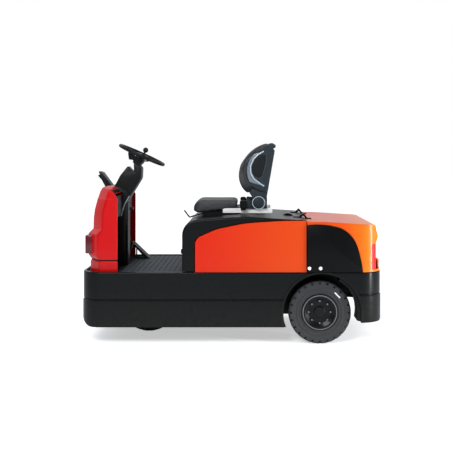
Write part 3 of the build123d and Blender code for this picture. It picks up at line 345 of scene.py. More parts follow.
SKIRT_PAINT = Finish(
    "skirt_paint", srgb(9, 13, 13), 0.26, specular=0.10, coat=0.08, grain=Grain.ORANGE_PEEL, dust=0.05,
)
ARCH_RUBBER = Finish("arch_rubber", srgb(14, 16, 16), 0.50, grain=Grain.MOULDED, dust=0.08)
COWL_PAINT = Finish("cowl_paint", srgb(192, 6, 10), 0.34, coat=0.12, grain=Grain.ORANGE_PEEL, clouds=0.03)
PANEL_PAINT = Finish(
    "panel_paint", srgb(206, 34, 6), 0.34, coat=0.08, grain=Grain.ORANGE_PEEL, clouds=0.03,
    far_colour=srgb(208, 66, 10), far_from=-0.30, far_to=0.54,
)
COVER_PAINT = Finish(
    "cover_paint", srgb(216, 76, 14), 0.32, coat=0.12, grain=Grain.ORANGE_PEEL, clouds=0.03,
    far_colour=srgb(232, 118, 14), far_from=0.72, far_to=1.0,
)
HOOD_PAINT = Finish("hood_paint", srgb(10, 13, 13), 0.34, specular=0.14, coat=0.02, grain=Grain.ORANGE_PEEL)
SIDE_COVER_PAINT = Finish("side_cover_paint", srgb(9, 10, 11), 0.36, specular=0.10, grain=Grain.ORANGE_PEEL)
PLASTIC = Finish("black_plastic", srgb(16, 18, 19), 0.42, grain=Grain.MOULDED)
STEEL_PAINT = Finish("frame_paint", srgb(22, 24, 25), 0.50, grain=Grain.ORANGE_PEEL, dust=0.10)
BRIGHT_STEEL = Finish(
    "bright_steel", srgb(206, 208, 210), 0.34, metallic=0.35, specular=0.5, grain=Grain.BRUSHED,
)
# Near-white plain paint for chrome parts: painted reflection of the bright studio on the chrome.
CHROME_GLINT_WHITE = Finish("chrome_painted_glint", srgb(250, 250, 250), 0.34, specular=0.5, coat=0.3, clouds=0.0)
CAST_IRON = Finish("cast_iron", srgb(52, 54, 56), 0.60, metallic=0.3, grain=Grain.CAST, dust=0.12)
MAT_RUBBER = Finish("mat_rubber", srgb(48, 54, 60), 0.60, grain=Grain.MOULDED, clouds=0.2)
TYRE_RUBBER = Finish("tyre_rubber", srgb(54, 56, 58), 0.60, grain=Grain.MOULDED, clouds=0.3, dust=0.08)
RIM_PAINT = Finish("rim_paint", srgb(12, 13, 14), 0.34, coat=0.1, grain=Grain.ORANGE_PEEL)
LAMP_MAROON = Finish("lamp_maroon", srgb(74, 18, 20), 0.18, coat=0.6, clouds=0.0)
LAMP_RED = Finish("lamp_red", srgb(206, 26, 52), 0.14, coat=0.9, clouds=0.0)
VINYL = Finish("seat_vinyl", srgb(24, 27, 29), 0.44, grain=Grain.HIDE)
SHELL_PLASTIC = Finish("seat_shell_plastic", srgb(42, 49, 54), 0.34, grain=Grain.MOULDED)
# Pale metal: on the rim's lip ring it is a painted highlight of the lip's reflection; on the bolt heads it is
# their own metal.
RIM_GLINT_AND_BOLT_METAL = Finish("rim_glint_and_bolt_metal", srgb(120, 124, 126), 0.34, metallic=0.5, grain=Grain.BRUSHED)
# Near-black for the sheet in the cowl's seam: painted shade of the gap between cowl and base.
SEAM_SHADE = Finish("seam_painted_shade", srgb(8, 9, 9), 0.6)
PIPING = Finish("seat_piping", srgb(58, 64, 68), 0.38)
# Pale grey for the line along the shell's front band and for the recliner cap rims: painted highlight.
SHELL_GLINT = Finish("seat_shell_glint", srgb(176, 190, 200), 0.28, coat=0.2)
# Mid grey-blue for the shell's front band: painted highlight.
SHELL_HIGHLIGHT = Finish("seat_shell_highlight", srgb(112, 124, 134), 0.3, coat=0.2)
# Near-black sheet on the shell's side recess: painted shade of the hollow.
RECESS_SHADE = Finish("seat_recess_shade", srgb(22, 25, 27), 0.5, grain=Grain.MOULDED)
# Pale silver for the tube along the dash head's edge: painted highlight of that edge's reflection.
DASH_EDGE_GLINT = Finish("dash_edge_glint_paint", srgb(150, 156, 160), 0.3, metallic=0.3)
BLANK_WHITE = Finish("blank_white", srgb(226, 228, 228), 0.5)
BELT_PLASTIC = Finish("belt_plastic", srgb(12, 13, 14), 0.35)

NODE_FINISH: dict[str, Finish] = {
    "skirt_front": SKIRT_PAINT, "skirt_rear": SKIRT_PAINT, "wheel_arches": ARCH_RUBBER,
    "chassis_frame": STEEL_PAINT, "deck_plate": STEEL_PAINT, "floor_mat": MAT_RUBBER,
    "front_cowl": COWL_PAINT, "front_cowl_base": COWL_PAINT, "headlamps": LAMP_MAROON,
    "dash_panel": PLASTIC, "leg_console": PLASTIC, "column_shroud": PLASTIC,
    "column_head": PLASTIC, "document_clip": PLASTIC, "pedals": STEEL_PAINT,
    "side_panels": PANEL_PAINT, "rear_cover": COVER_PAINT, "rear_side_covers": SIDE_COVER_PAINT,
    "tail_lamps": LAMP_RED, "hood_hinge": STEEL_PAINT, "rear_axle": CAST_IRON,
    "drive_motor": CAST_IRON, "battery": PLASTIC, "turntable_ring": BRIGHT_STEEL,
    "tow_hitch": CAST_IRON, "tow_pin": BRIGHT_STEEL, "steer_fork": STEEL_PAINT,
    "front_axle_pin": BRIGHT_STEEL, "front_tyre": TYRE_RUBBER, "front_rim": RIM_PAINT,
    "rear_left_tyre": TYRE_RUBBER, "rear_left_rim": RIM_PAINT, "rear_right_tyre": TYRE_RUBBER,
    "rear_right_rim": RIM_PAINT, "steering_wheel": PLASTIC, "steering_knob": BELT_PLASTIC,
    "seat_hood": HOOD_PAINT, "hood_latch": BELT_PLASTIC, "seat_base": PLASTIC,
    # Seat rails in near-white paint: painted reflection of the chrome.
    "seat_rails": CHROME_GLINT_WHITE, "seat_lever": BELT_PLASTIC, "seat_cushion": VINYL,
    "backrest_shell": SHELL_PLASTIC, "backrest_pad": VINYL, "recliner": SHELL_PLASTIC,
    "seat_belt": BELT_PLASTIC,
}


def dress_frame() -> None:
    """Gives every CAD node its finish."""
    for name, finish in NODE_FINISH.items():
        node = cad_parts[name]
        node.data.materials.clear()
        node.data.materials.append(finish.make())
        LOG.info("node %s in %s", name, finish.name)


# Modelling helpers
def rounded(corners: Sequence[Corner], closed: bool = True, steps: int = 5) -> list[Flat]:
    """Rounds the corners of a flat outline.

    Args:
        corners: first coordinate, second coordinate and radius of each corner, in millimetres.
        closed: whether the last corner joins the first.
        steps: number of chords in each round.

    Returns:
        The points of the rounded outline.
    """
    points: list[Flat] = []
    count = len(corners)
    for index, (first, second, radius) in enumerate(corners):
        ends = not closed and index in (0, count - 1)
        if radius <= 0.0 or ends:
            points.append((first, second))
            continue
        here = Vector((first, second))
        back = Vector(corners[index - 1][:2]) - here
        on = Vector(corners[(index + 1) % count][:2]) - here
        reach = min(radius / math.tan(back.angle(on) / 2), 0.49 * back.length, 0.49 * on.length)
        start = here + back.normalized() * reach
        end = here + on.normalized() * reach
        for step in range(steps + 1):
            along = step / steps
            spot = start.lerp(here, along).lerp(here.lerp(end, along), along)
            points.append((spot.x, spot.y))
    return points


def across(side: float, inner: float, outer: float) -> tuple[float, float]:
    """Low and high Y of a form that reaches from one distance to another on one side.

    Args:
        side: -1 for the near side, 1 for the far one.
        inner: one distance from the middle, in millimetres.
        outer: the other distance.

    Returns:
        The lower Y and the higher one.
    """
    low, high = sorted((side * inner, side * outer))
    return low, high


def through(start: Flat, middle: Flat, end: Flat, steps: int) -> list[Flat]:
    """Arc through three points.

    Args:
        start: first point, in millimetres.
        middle: a point on the arc.
        end: last point.
        steps: number of chords.

    Returns:
        Points from start to end.
    """
    (ax, ay), (bx, by), (cx, cy) = start, middle, end
    twice = 2 * (ax * (by - cy) + bx * (cy - ay) + cx * (ay - by))
    squares = [x * x + y * y for x, y in (start, middle, end)]
    centre_x = (squares[0] * (by - cy) + squares[1] * (cy - ay) + squares[2] * (ay - by)) / twice
    centre_y = (squares[0] * (cx - bx) + squares[1] * (ax - cx) + squares[2] * (bx - ax)) / twice
    first = math.atan2(ay - centre_y, ax - centre_x)
    halfway = (math.atan2(by - centre_y, bx - centre_x) - first) % math.tau
    sweep = (math.atan2(cy - centre_y, cx - centre_x) - first) % math.tau
    if halfway > sweep:
        sweep -= math.tau
    radius = math.hypot(ax - centre_x, ay - centre_y)
    return [
        (centre_x + radius * math.cos(first + sweep * step / steps),
         centre_y + radius * math.sin(first + sweep * step / steps))
        for step in range(steps + 1)
    ]


def run(arcs: Sequence[Arc], rear: Sequence[Flat] = (), steps: int = 12) -> list[Flat]:
    """Outline made of arcs, each starting where the last ends, and then of straight lines."""
    points: list[Flat] = []
    for arc in arcs:
        points += through(*arc, steps)[(1 if points else 0):]
    return points + list(rear)


# Edges sharper than this, in degrees, are bevelled; points nearer than this, in metres, are merged
SOFT_DEG = 28
DOUBLES = 1e-6


class Shape:
    """A mesh in the making, in millimetres in the tractor's own frame."""

    def __init__(self) -> None:
        """Starts with an empty mesh."""
        self.mesh = bmesh.new()

    def soften(self, verts: Sequence[bmesh.types.BMVert], edge: Number) -> None:
        """Bevels every sharp edge between the given vertices.

        Args:
            verts: the vertices of one solid.
            edge: width of the bevel.
        """
        sharp = {
            line for vert in verts for line in vert.link_edges
            if len(line.link_faces) == 2 and line.calc_face_angle() > math.radians(SOFT_DEG)
        }
        bmesh.ops.bevel(
            self.mesh, geom=list(sharp), offset=edge, offset_type="OFFSET", segments=2,
            profile=0.5, affect="EDGES", material=-1, clamp_overlap=True,
        )

    def block(self, low: Point, high: Point, edge: Number) -> "Shape":
        """Adds a box between two corners, with softened edges."""
        made = bmesh.ops.create_cube(self.mesh, size=1.0)["verts"]
        bmesh.ops.scale(self.mesh, vec=Vector(high) - Vector(low), verts=made)
        bmesh.ops.translate(self.mesh, vec=(Vector(high) + Vector(low)) / 2, verts=made)
        self.soften(made, edge)
        return self

    def prism(self, outline: Sequence[Flat], low_y: Number, high_y: Number, edge: Number) -> "Shape":
        """Adds an outline in X and Z carried from one Y to another, with softened edges."""
        near = [self.mesh.verts.new((x, low_y, z)) for x, z in outline]
        face = self.mesh.faces.new(near)
        made = bmesh.ops.extrude_face_region(self.mesh, geom=[face])["geom"]
        far = [item for item in made if isinstance(item, bmesh.types.BMVert)]
        bmesh.ops.translate(self.mesh, vec=(0.0, high_y - low_y, 0.0), verts=far)
        bmesh.ops.recalc_face_normals(self.mesh, faces=list({f for v in near + far for f in v.link_faces}))
        if edge:
            self.soften(near + far, edge)
        return self

    def lathe(self, profile: Sequence[Flat], centre: Point, sides: int, outward: float) -> "Shape":
        """Adds a turned form about an axis along Y.

        Args:
            profile: radius and distance outward from the centre of each point.
            centre: a point on the axis.
            sides: number of steps in a turn.
            outward: -1 for the near side, 1 for the far one.

        Returns:
            The shape itself.
        """
        x, y, z = centre
        rail = [self.mesh.verts.new((x, y + outward * out, z + radius)) for radius, out in profile]
        lines = [self.mesh.edges.new(pair) for pair in zip(rail, rail[1:])]
        bmesh.ops.spin(
            self.mesh, geom=rail + lines, cent=centre, axis=(0.0, 1.0, 0.0),
            angle=math.tau, steps=sides, use_merge=True,
        )
        return self

    def tube(self, path: Sequence[Point], radius: Number, sides: int = 8) -> "Shape":
        """Adds a round bar along a path, closed at its ends."""
        spots = [Vector(point) for point in path]
        rings = []
        for index, spot in enumerate(spots):
            ahead = spots[min(index + 1, len(spots) - 1)] - spots[max(index - 1, 0)]
            side = ahead.cross(Vector((0.0, 1.0, 0.0)))
            if side.length < 1e-6 * ahead.length:
                side = Vector((1.0, 0.0, 0.0))
            side.normalize()
            up = ahead.cross(side).normalized()
            rings.append([
                self.mesh.verts.new(spot + radius * (side * math.cos(turn) + up * math.sin(turn)))
                for turn in (math.tau * step / sides for step in range(sides))
            ])
        self.join(rings, closed=True)
        self.mesh.faces.new(rings[0])
        self.mesh.faces.new(rings[-1])
        return self

    def join(self, rows: Sequence[Sequence[bmesh.types.BMVert]], closed: bool) -> None:
        """Adds the faces between each row of vertices and the next."""
        count = len(rows[0])
        for first, second in zip(rows, rows[1:]):
            for step in range(count if closed else count - 1):
                after = (step + 1) % count
                self.mesh.faces.new((first[step], first[after], second[after], second[step]))

    def skin(self, rings: Sequence[Sequence[Point]], closed: bool) -> "Shape":
        """Adds a skin over rings of equal length, each ring joined to the next."""
        self.join([[self.mesh.verts.new(point) for point in ring] for ring in rings], closed)
        return self

    def piece(
        self,
        name: str,
        finish: Finish,
        body: str,
        slot: str,
        replaces: Sequence[str] = (),
        crease: Number = 32,
    ) -> bpy.types.Object:
        """Turns the mesh into a finished piece of the scene.

        Args:
            name: the piece's name.
            finish: its surface.
            body: the CAD body that it moves with.
            slot: the record's material slot; not used.
            replaces: CAD nodes that it stands for.
            crease: edges sharper than this, in degrees, stay sharp.

        Returns:
            The piece.
        """
        mesh = self.mesh
        bmesh.ops.scale(mesh, vec=(MM, MM, MM), verts=mesh.verts)
        bmesh.ops.remove_doubles(mesh, verts=mesh.verts, dist=DOUBLES)
        bmesh.ops.recalc_face_normals(mesh, faces=mesh.faces)
        for face in mesh.faces:
            face.smooth = True
        for line in mesh.edges:
            if len(line.link_faces) == 2 and line.calc_face_angle() > math.radians(crease):
                line.smooth = False
        data = bpy.data.meshes.new(name)
        mesh.to_mesh(data)
        mesh.free()
        return place_piece(bpy.data.objects.new(name, data), finish, body, replaces)


def place_piece(
    made: bpy.types.Object, finish: Finish, body: str, replaces: Sequence[str] = (),
) -> bpy.types.Object:
    """Gives a piece its surface and its CAD body.

    Args:
        made: the piece.
        finish: its surface.
        body: the CAD body that it moves with.
        replaces: CAD nodes that it stands for.

    Returns:
        The piece.
    """
    made.data.materials.clear()
    made.data.materials.append(finish.make())
    bpy.context.scene.collection.objects.link(made)
    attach(made, body)
    if replaces:
        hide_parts(*replaces)
    LOG.info("piece %s in %s on %s", made.name, finish.name, body)
    return made


# Wheels
@dataclass
class Tyre:
    """Solid industrial tyre with side lugs and moulded sidewall rings."""

    node: str
    body: str
    centre: Point
    lugs: int = 24
    gap_deg: float = 4.6
    wall: Sequence[Flat] = (
        (119.5, 62), (123, 69), (129, 72), (132, 75.5), (137, 75.5), (139, 73.5),
        (147, 74.5), (150, 77), (156, 77), (158, 75), (176, 76), (179, 78),
        (187, 78),
    )
    lug: Sequence[Flat] = ((190, 77.5), (193, 79), (201, 79), (209.5, 74), (212.5, 63))
    gap: Sequence[Flat] = ((190, 77.5), (190.8, 76), (191.4, 63.5), (203, 61), (211.8, 60))
    crown: Sequence[Flat] = ((212.5, 46), (212.5, 20))

    def ring(self, turn: float, in_gap: bool) -> list[Point]:
        """Section of the tyre at one angle.

        Args:
            turn: the angle about the axle.
            in_gap: whether the section falls between two lugs.

        Returns:
            The points of the section.
        """
        side = [*self.wall, *(self.gap if in_gap else self.lug), *self.crown]
        loop = side + [(radius, -out) for radius, out in reversed(side)]
        x, y, z = self.centre
        return [(x + radius * math.sin(turn), y + out, z + radius * math.cos(turn)) for radius, out in loop]

    def build(self) -> None:
        """Makes the tyre in place of its CAD node."""
        pitch = math.tau / self.lugs
        edge = math.radians(self.gap_deg) / 2
        stations = ((-edge, False), (-0.8 * edge, True), (0.8 * edge, True), (edge, False),
                    (0.35 * pitch, False), (0.65 * pitch, False))
        rings = [
            self.ring(pitch * lug + offset, in_gap)
            for lug in range(self.lugs) for offset, in_gap in stations
        ]
        rings.append(rings[0])
        Shape().skin(rings, closed=True).piece(
            f"{self.node}_rubber", TYRE_RUBBER, self.body, "tyre_black", (self.node,), crease=24,
        )


@dataclass
class WheelTrim:
    """Painted highlight ring on the rim's lip, bolt heads and blank sidewall bar of one wheel side."""

    name: str
    body: str
    centre: Point
    outward: float
    bolts: int = 8
    bolt_radius: float = 75.0
    bolt_seat: float = 58.0
    bolt_dome: Sequence[Flat] = ((0.1, 3), (4, 2.6), (6, 1.4), (6.4, -1))
    glint_ring: Sequence[Flat] = ((110.5, 75), (112, 78.2), (117, 78.2), (118.3, 75))
    bar_half: float = 25.0
    bar_reach: Flat = (162.5, 171.5)
    bar_out: Flat = (74, 77.4)
    bar_deg: float = 45.0
    bar_edge: float = 0.8
    ring_steps: int = 96
    dome_steps: int = 12

    def build(self) -> None:
        """Makes the trim."""
        self.ring()
        self.bar()
        if self.body != "front_wheel":
            self.heads()

    def ring(self) -> None:
        """Pale ring on the rim's lip: painted highlight of the lip's reflection."""
        Shape().lathe((*self.glint_ring, self.glint_ring[0]), self.centre, self.ring_steps, self.outward).piece(
            f"{self.name}_rim_edge", RIM_GLINT_AND_BOLT_METAL, self.body, "rim_steel",
        )

    def bar(self) -> None:
        """Blank bar on the sidewall."""
        x, y, z = self.centre
        low, high = self.bar_reach
        inner, outer = self.bar_out
        bar = Shape().block(
            (x - self.bar_half, y + self.outward * inner, z + low),
            (x + self.bar_half, y + self.outward * outer, z + high),
            self.bar_edge,
        )
        turn = math.radians(self.bar_deg)
        for vert in bar.mesh.verts:
            along, up = vert.co.x - x, vert.co.z - z
            vert.co.x = x + along * math.cos(turn) + up * math.sin(turn)
            vert.co.z = z - along * math.sin(turn) + up * math.cos(turn)
        bar.piece(f"{self.name}_blank_bar", BLANK_WHITE, self.body, "tyre_black")

    def heads(self) -> None:
        """Ring of wheel bolt heads."""
        x, y, z = self.centre
        heads = Shape()
        for step in range(self.bolts):
            turn = math.tau * step / self.bolts
            spot = (x + self.bolt_radius * math.cos(turn), y, z + self.bolt_radius * math.sin(turn))
            dome = [(radius, self.bolt_seat + out) for radius, out in self.bolt_dome]
            heads.lathe(dome, spot, self.dome_steps, self.outward)
        heads.piece(f"{self.name}_rim_bolts", RIM_GLINT_AND_BOLT_METAL, self.body, "rim_steel")


# Front
@dataclass
class Cowl:
    """Red front cowl with bevelled corners, a shelf above the lamps and a rolled rear edge."""

    half: float = 440.0
    rear: float = -780.0
    wall: float = 9.0
    shell_sheet: float = 6.3
    base_sheet: float = 4.5
    bevel: Flat = (80, 120)
    corner: float = 26.0
    roll: float = 8.0
    sections: Sequence[Corner] = (
        (567, -984, 0), (590, -1000, 0), (738, -1000, 0), (772, -967, 0),
        (845, -965, 0), (905, -957, 0), (978, -938, 0), (986, -935, 5),
        (1030, -920, 7), (1052, -908, 12), (1062, -892, 24), (1064, -872, 48),
    )
    base: Sequence[Corner] = ((478, -986, 0), (549, -986, 0), (557, -978, 5))
    seam: Sequence[Corner] = ((556, -980, 6), (568, -980, 6))
    roof_start: float = -885.0
    roof_reach: float = 90.0
    roof_drop: float = 62.0
    roof_top: float = 1064.0
    lamp_low: Point = (-1014, 220, 601)
    lamp_high: Point = (-962, 370, 728)
    lamp_edge: float = 7.0
    crease: float = 18.0

    def section(self, height: float, front: float, inset: float) -> list[Point]:
        """Plan of the cowl at one height, open at its rear."""
        side = self.half - inset
        rear = self.rear - inset * 0.5
        half = [
            (rear, side - self.wall, 0.0), (rear, side, self.roll),
            (front + self.bevel[0], side, self.corner), (front, side - self.bevel[1], self.corner),
        ]
        whole = [(x, -y, r) for x, y, r in half] + list(reversed(half))
        return [(x, y, min(height, self.roof(x))) for x, y in rounded(whole, closed=False)]

    def roof(self, x: float) -> float:
        """Height of the roof, which falls towards the driver."""
        back = max(0.0, (x - self.roof_start) / self.roof_reach)
        return self.roof_top - self.roof_drop * back ** 2

    def shell(self, sections: Sequence[Corner], thickness: float, roofed: bool = False) -> Shape:
        """Sheet over the sections, given a thickness.

        Args:
            sections: height, front X and side inset of each section.
            thickness: thickness of the sheet.
            roofed: whether a face closes the last section.

        Returns:
            The shape.
        """
        rings = [self.section(*values) for values in sections]
        shape = Shape().skin(rings, closed=False)
        if roofed:
            shape.mesh.faces.new(list(shape.mesh.verts)[-len(rings[-1]):])
        bmesh.ops.recalc_face_normals(shape.mesh, faces=shape.mesh.faces)
        bmesh.ops.solidify(shape.mesh, geom=list(shape.mesh.faces), thickness=thickness)
        return shape

    def build(self) -> None:
        """Makes the cowl, its lamps and its base in place of their CAD nodes, and a black sheet in the seam
        as painted shade of the gap.
        """
        self.shell(self.sections, self.shell_sheet, roofed=True).piece(
            "cowl_shell", COWL_PAINT, "root", "cowl_red", ("front_cowl",), crease=self.crease,
        )
        lamps = Shape()
        for _, side in SIDES:
            low, high = across(side, self.lamp_low[1], self.lamp_high[1])
            lamps.block(
                (self.lamp_low[0], low, self.lamp_low[2]), (self.lamp_high[0], high, self.lamp_high[2]),
                self.lamp_edge,
            )
        lamps.piece("lamp_lenses", LAMP_MAROON, "root", "lamp_maroon", ("headlamps",))
        self.shell(self.base, self.base_sheet).piece(
            "cowl_base_shell", COWL_PAINT, "root", "cowl_red", ("front_cowl_base",), crease=self.crease,
        )
        # Black sheet in the seam: painted shade of the gap.
        self.shell(self.seam, self.base_sheet).piece(
            "cowl_seam_shade", SEAM_SHADE, "root", "plastic_black", crease=self.crease,
        )


@dataclass
class Slab:
    """Form given by its side outline and its reach across the tractor, one or mirrored on both sides."""

    name: str
    corners: Sequence[Corner]
    low_y: float
    high_y: float
    finish: Finish
    slot: str
    body: str = "root"
    edge: float = 3.0
    mirrored: bool = False
    replaces: Sequence[str] = ()
    crease: float = 30.0

    def build(self) -> None:
        """Makes the piece in place of the CAD nodes that it stands for."""
        shape = Shape()
        outline = rounded(self.corners)
        for side in ((1, -1) if self.mirrored else (1,)):
            shape.prism(outline, *across(side, self.low_y, self.high_y), self.edge)
        shape.piece(self.name, self.finish, self.body, self.slot, self.replaces, self.crease)


SLABS = (
    Slab("column_cover", (
        (-876, 1030, 0), (-824, 1131, 90), (-768, 1201, 6), (-750, 1180, 0),
        (-734, 1164, 4), (-722, 1172, 4), (-723.9, 1223.7, 0), (-682.1, 1204.6, 0),
        (-668, 1190, 14), (-671, 1110, 60), (-748, 984, 0), (-772, 940, 0),
        (-876, 940, 0),
    ), -62.0, 62.0, PLASTIC, "plastic_black", edge=8.0, replaces=("column_shroud",)),
    Slab("clip_arm", (
        (-924, 1038, 0), (-884, 1038, 0), (-884, 1058, 10), (-942, 1134, 0),
        (-957, 1154, 4), (-981, 1164, 2), (-971, 1140, 0), (-986, 1132, 3),
        (-960, 1104, 0),
    ), -58.0, 58.0, PLASTIC, "plastic_black", edge=2.0, replaces=("document_clip",)),
    Slab("dash_head_form", (
        (-892, 830, 0), (-818, 830, 8), (-754, 978, 14), (-762, 1012, 20),
        (-826, 1050, 30), (-884, 1056, 0),
    ), -84.0, 84.0, PLASTIC, "plastic_black", edge=6.0, replaces=("dash_panel",)),
    Slab("dash_wide_form", (
        (-838, 840, 0), (-818, 832, 8), (-802, 867, 0), (-802, 1006, 30),
        (-838, 1038, 0),
    ), -402.0, 402.0, PLASTIC, "plastic_black", edge=6.0),
    Slab("recliner_arms", (
        (146, 900, 0), (244, 903, 0), (246, 960, 20), (244, 1010, 0),
        (228, 1016, 0), (188, 1024, 0), (138, 1050, 8), (122, 1012, 10),
        (140, 985, 10),
    ), -242.0, -196.0, SHELL_PLASTIC, "shell_grey", "hood", 5.0, True, ("recliner",)),
    Slab("recliner_plates", (
        (96.4, 902, 3), (148, 902, 3), (148, 962, 8), (100, 966, 8),
    ), -238.0, -204.0, SHELL_PLASTIC, "shell_grey", "hood", 3.0, True),
    # Seat rail bars in near-white paint: painted reflection of the chrome.
    Slab("seat_rail_bars", (
        (-69, 871, 3), (283, 869, 3), (283, 903, 3), (-69, 905, 3),
    ), -217.0, -193.0, CHROME_GLINT_WHITE, "chrome_trim", "hood", 2.5, True, ("seat_rails",)),
)


@dataclass
class DashGlintAndKnob:
    """Painted highlight: a silver tube along the dash head's slanted edge for its reflection, and a switch
    knob.
    """

    glint_path: Sequence[Flat] = ((-750.6, 984.3), (-786, 926), (-812.4, 838.9))
    side: float = -86.0
    glint_radius: float = 4.5
    knob: Sequence[Point] = ((-756, -40, 890.4), (-744, -40, 890.4), (-728, -40, 890.4))
    knob_radius: float = 11.0
    knob_steps: int = 20

    def build(self) -> None:
        """Makes the painted highlight tube and the knob."""
        path = [(x, self.side, z) for x, z in self.glint_path]
        Shape().tube(path, self.glint_radius).piece("dash_edge_glint", DASH_EDGE_GLINT, "root", "bright_steel")
        Shape().tube(self.knob, self.knob_radius, self.knob_steps).piece(
            "dash_knob", BELT_PLASTIC, "root", "belt_black",
        )


@dataclass
class SteeringKnob:
    """Round knob on a stem above the rim of the steering wheel."""

    foot: Point = (-643.7, -166, 1269.7)
    tilt_deg: float = 24.5
    stem: float = 44.0
    stem_radius: float = 7.0
    collar: float = 18.0
    collar_radius: float = 13.0
    ball: float = 19.0
    ball_lift: float = 8.0

    def build(self) -> None:
        """Makes the knob in place of its CAD node."""
        tilt = math.radians(self.tilt_deg)
        up = Vector((math.sin(tilt), 0.0, math.cos(tilt)))
        foot = Vector(self.foot)
        shape = Shape().tube([tuple(foot), tuple(foot + up * self.stem)], self.stem_radius, 16)
        shape.tube([tuple(foot), tuple(foot + up * self.collar)], self.collar_radius, 20)
        made = bmesh.ops.create_uvsphere(shape.mesh, u_segments=24, v_segments=16, radius=self.ball)["verts"]
        bmesh.ops.translate(shape.mesh, vec=foot + up * (self.stem + self.ball_lift), verts=made)
        shape.piece("wheel_knob", BELT_PLASTIC, "steering_wheel", "belt_black", ("steering_knob",))


# Seat
@dataclass
class Padding:
    """Padded part, blown up by a cloth simulation from a solid; its lengths are in metres."""

    name: str
    node: str
    body: str = "hood"
    voxel: float = 0.006
    inset: float = 0.003
    rounds: int = 5
    pressure: float = 4.0
    steps: int = 20
    cap: float = 0.009
    fill: float = 0.85

    def start(self, source: bpy.types.Object | None) -> bpy.types.Object:
        """Remeshed, rounded and slightly smaller copy of the solid.

        Args:
            source: another solid to start from, or None for the CAD node.

        Returns:
            The copy.
        """
        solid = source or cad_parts[self.node]
        made = bpy.data.objects.new(self.name, solid.data.copy())
        bpy.context.scene.collection.objects.link(made)
        grid = made.modifiers.new("grid", "REMESH")
        grid.mode = "VOXEL"
        grid.voxel_size = self.voxel
        self.apply(made)
        mesh = bmesh.new()
        mesh.from_mesh(made.data)
        for _ in range(self.rounds):
            bmesh.ops.smooth_vert(
                mesh, verts=mesh.verts, factor=0.5, use_axis_x=True, use_axis_y=True, use_axis_z=True,
            )
        mesh.normal_update()
        for vert in mesh.verts:
            vert.co -= vert.normal * self.inset
        mesh.to_mesh(made.data)
        mesh.free()
        return made

    @staticmethod
    def apply(made: bpy.types.Object) -> None:
        """Fixes the piece's modifiers into its mesh."""
        ready = made.evaluated_get(bpy.context.evaluated_depsgraph_get())
        data = bpy.data.meshes.new_from_object(ready)
        made.modifiers.clear()
        made.data = data

    def swell(self, made: bpy.types.Object) -> None:
        """Runs the cloth under pressure and caps how far a point moves."""
        rest = [vert.co.copy() for vert in made.data.vertices]
        cloth = made.modifiers.new("cloth", "CLOTH")
        settings = cloth.settings
        settings.use_pressure = True
        settings.uniform_pressure_force = self.pressure
        settings.effector_weights.gravity = 0.0
        settings.quality = 4
        scene = bpy.context.scene
        for step in range(self.steps):
            scene.frame_set(1 + step)
        ready = made.evaluated_get(bpy.context.evaluated_depsgraph_get())
        moved = [vert.co.copy() for vert in ready.data.vertices]
        made.modifiers.clear()
        scene.frame_set(1)
        for vert, before, after in zip(made.data.vertices, rest, moved):
            shift = after - before
            if shift.length > self.cap:
                shift *= self.cap / shift.length
            vert.co = before + shift

    def build(self, source: bpy.types.Object | None = None) -> None:
        """Makes the padded piece in place of its CAD node.

        Args:
            source: another solid to start from, or None for the CAD node.
        """
        made = self.start(source)
        self.swell(made)
        fine = made.modifiers.new("fine", "SUBSURF")
        fine.levels = fine.render_levels = 1
        self.apply(made)
        for face in made.data.polygons:
            face.use_smooth = True
        bpy.context.scene.collection.objects.unlink(made)
        place_piece(made, VINYL, self.body, (self.node,))


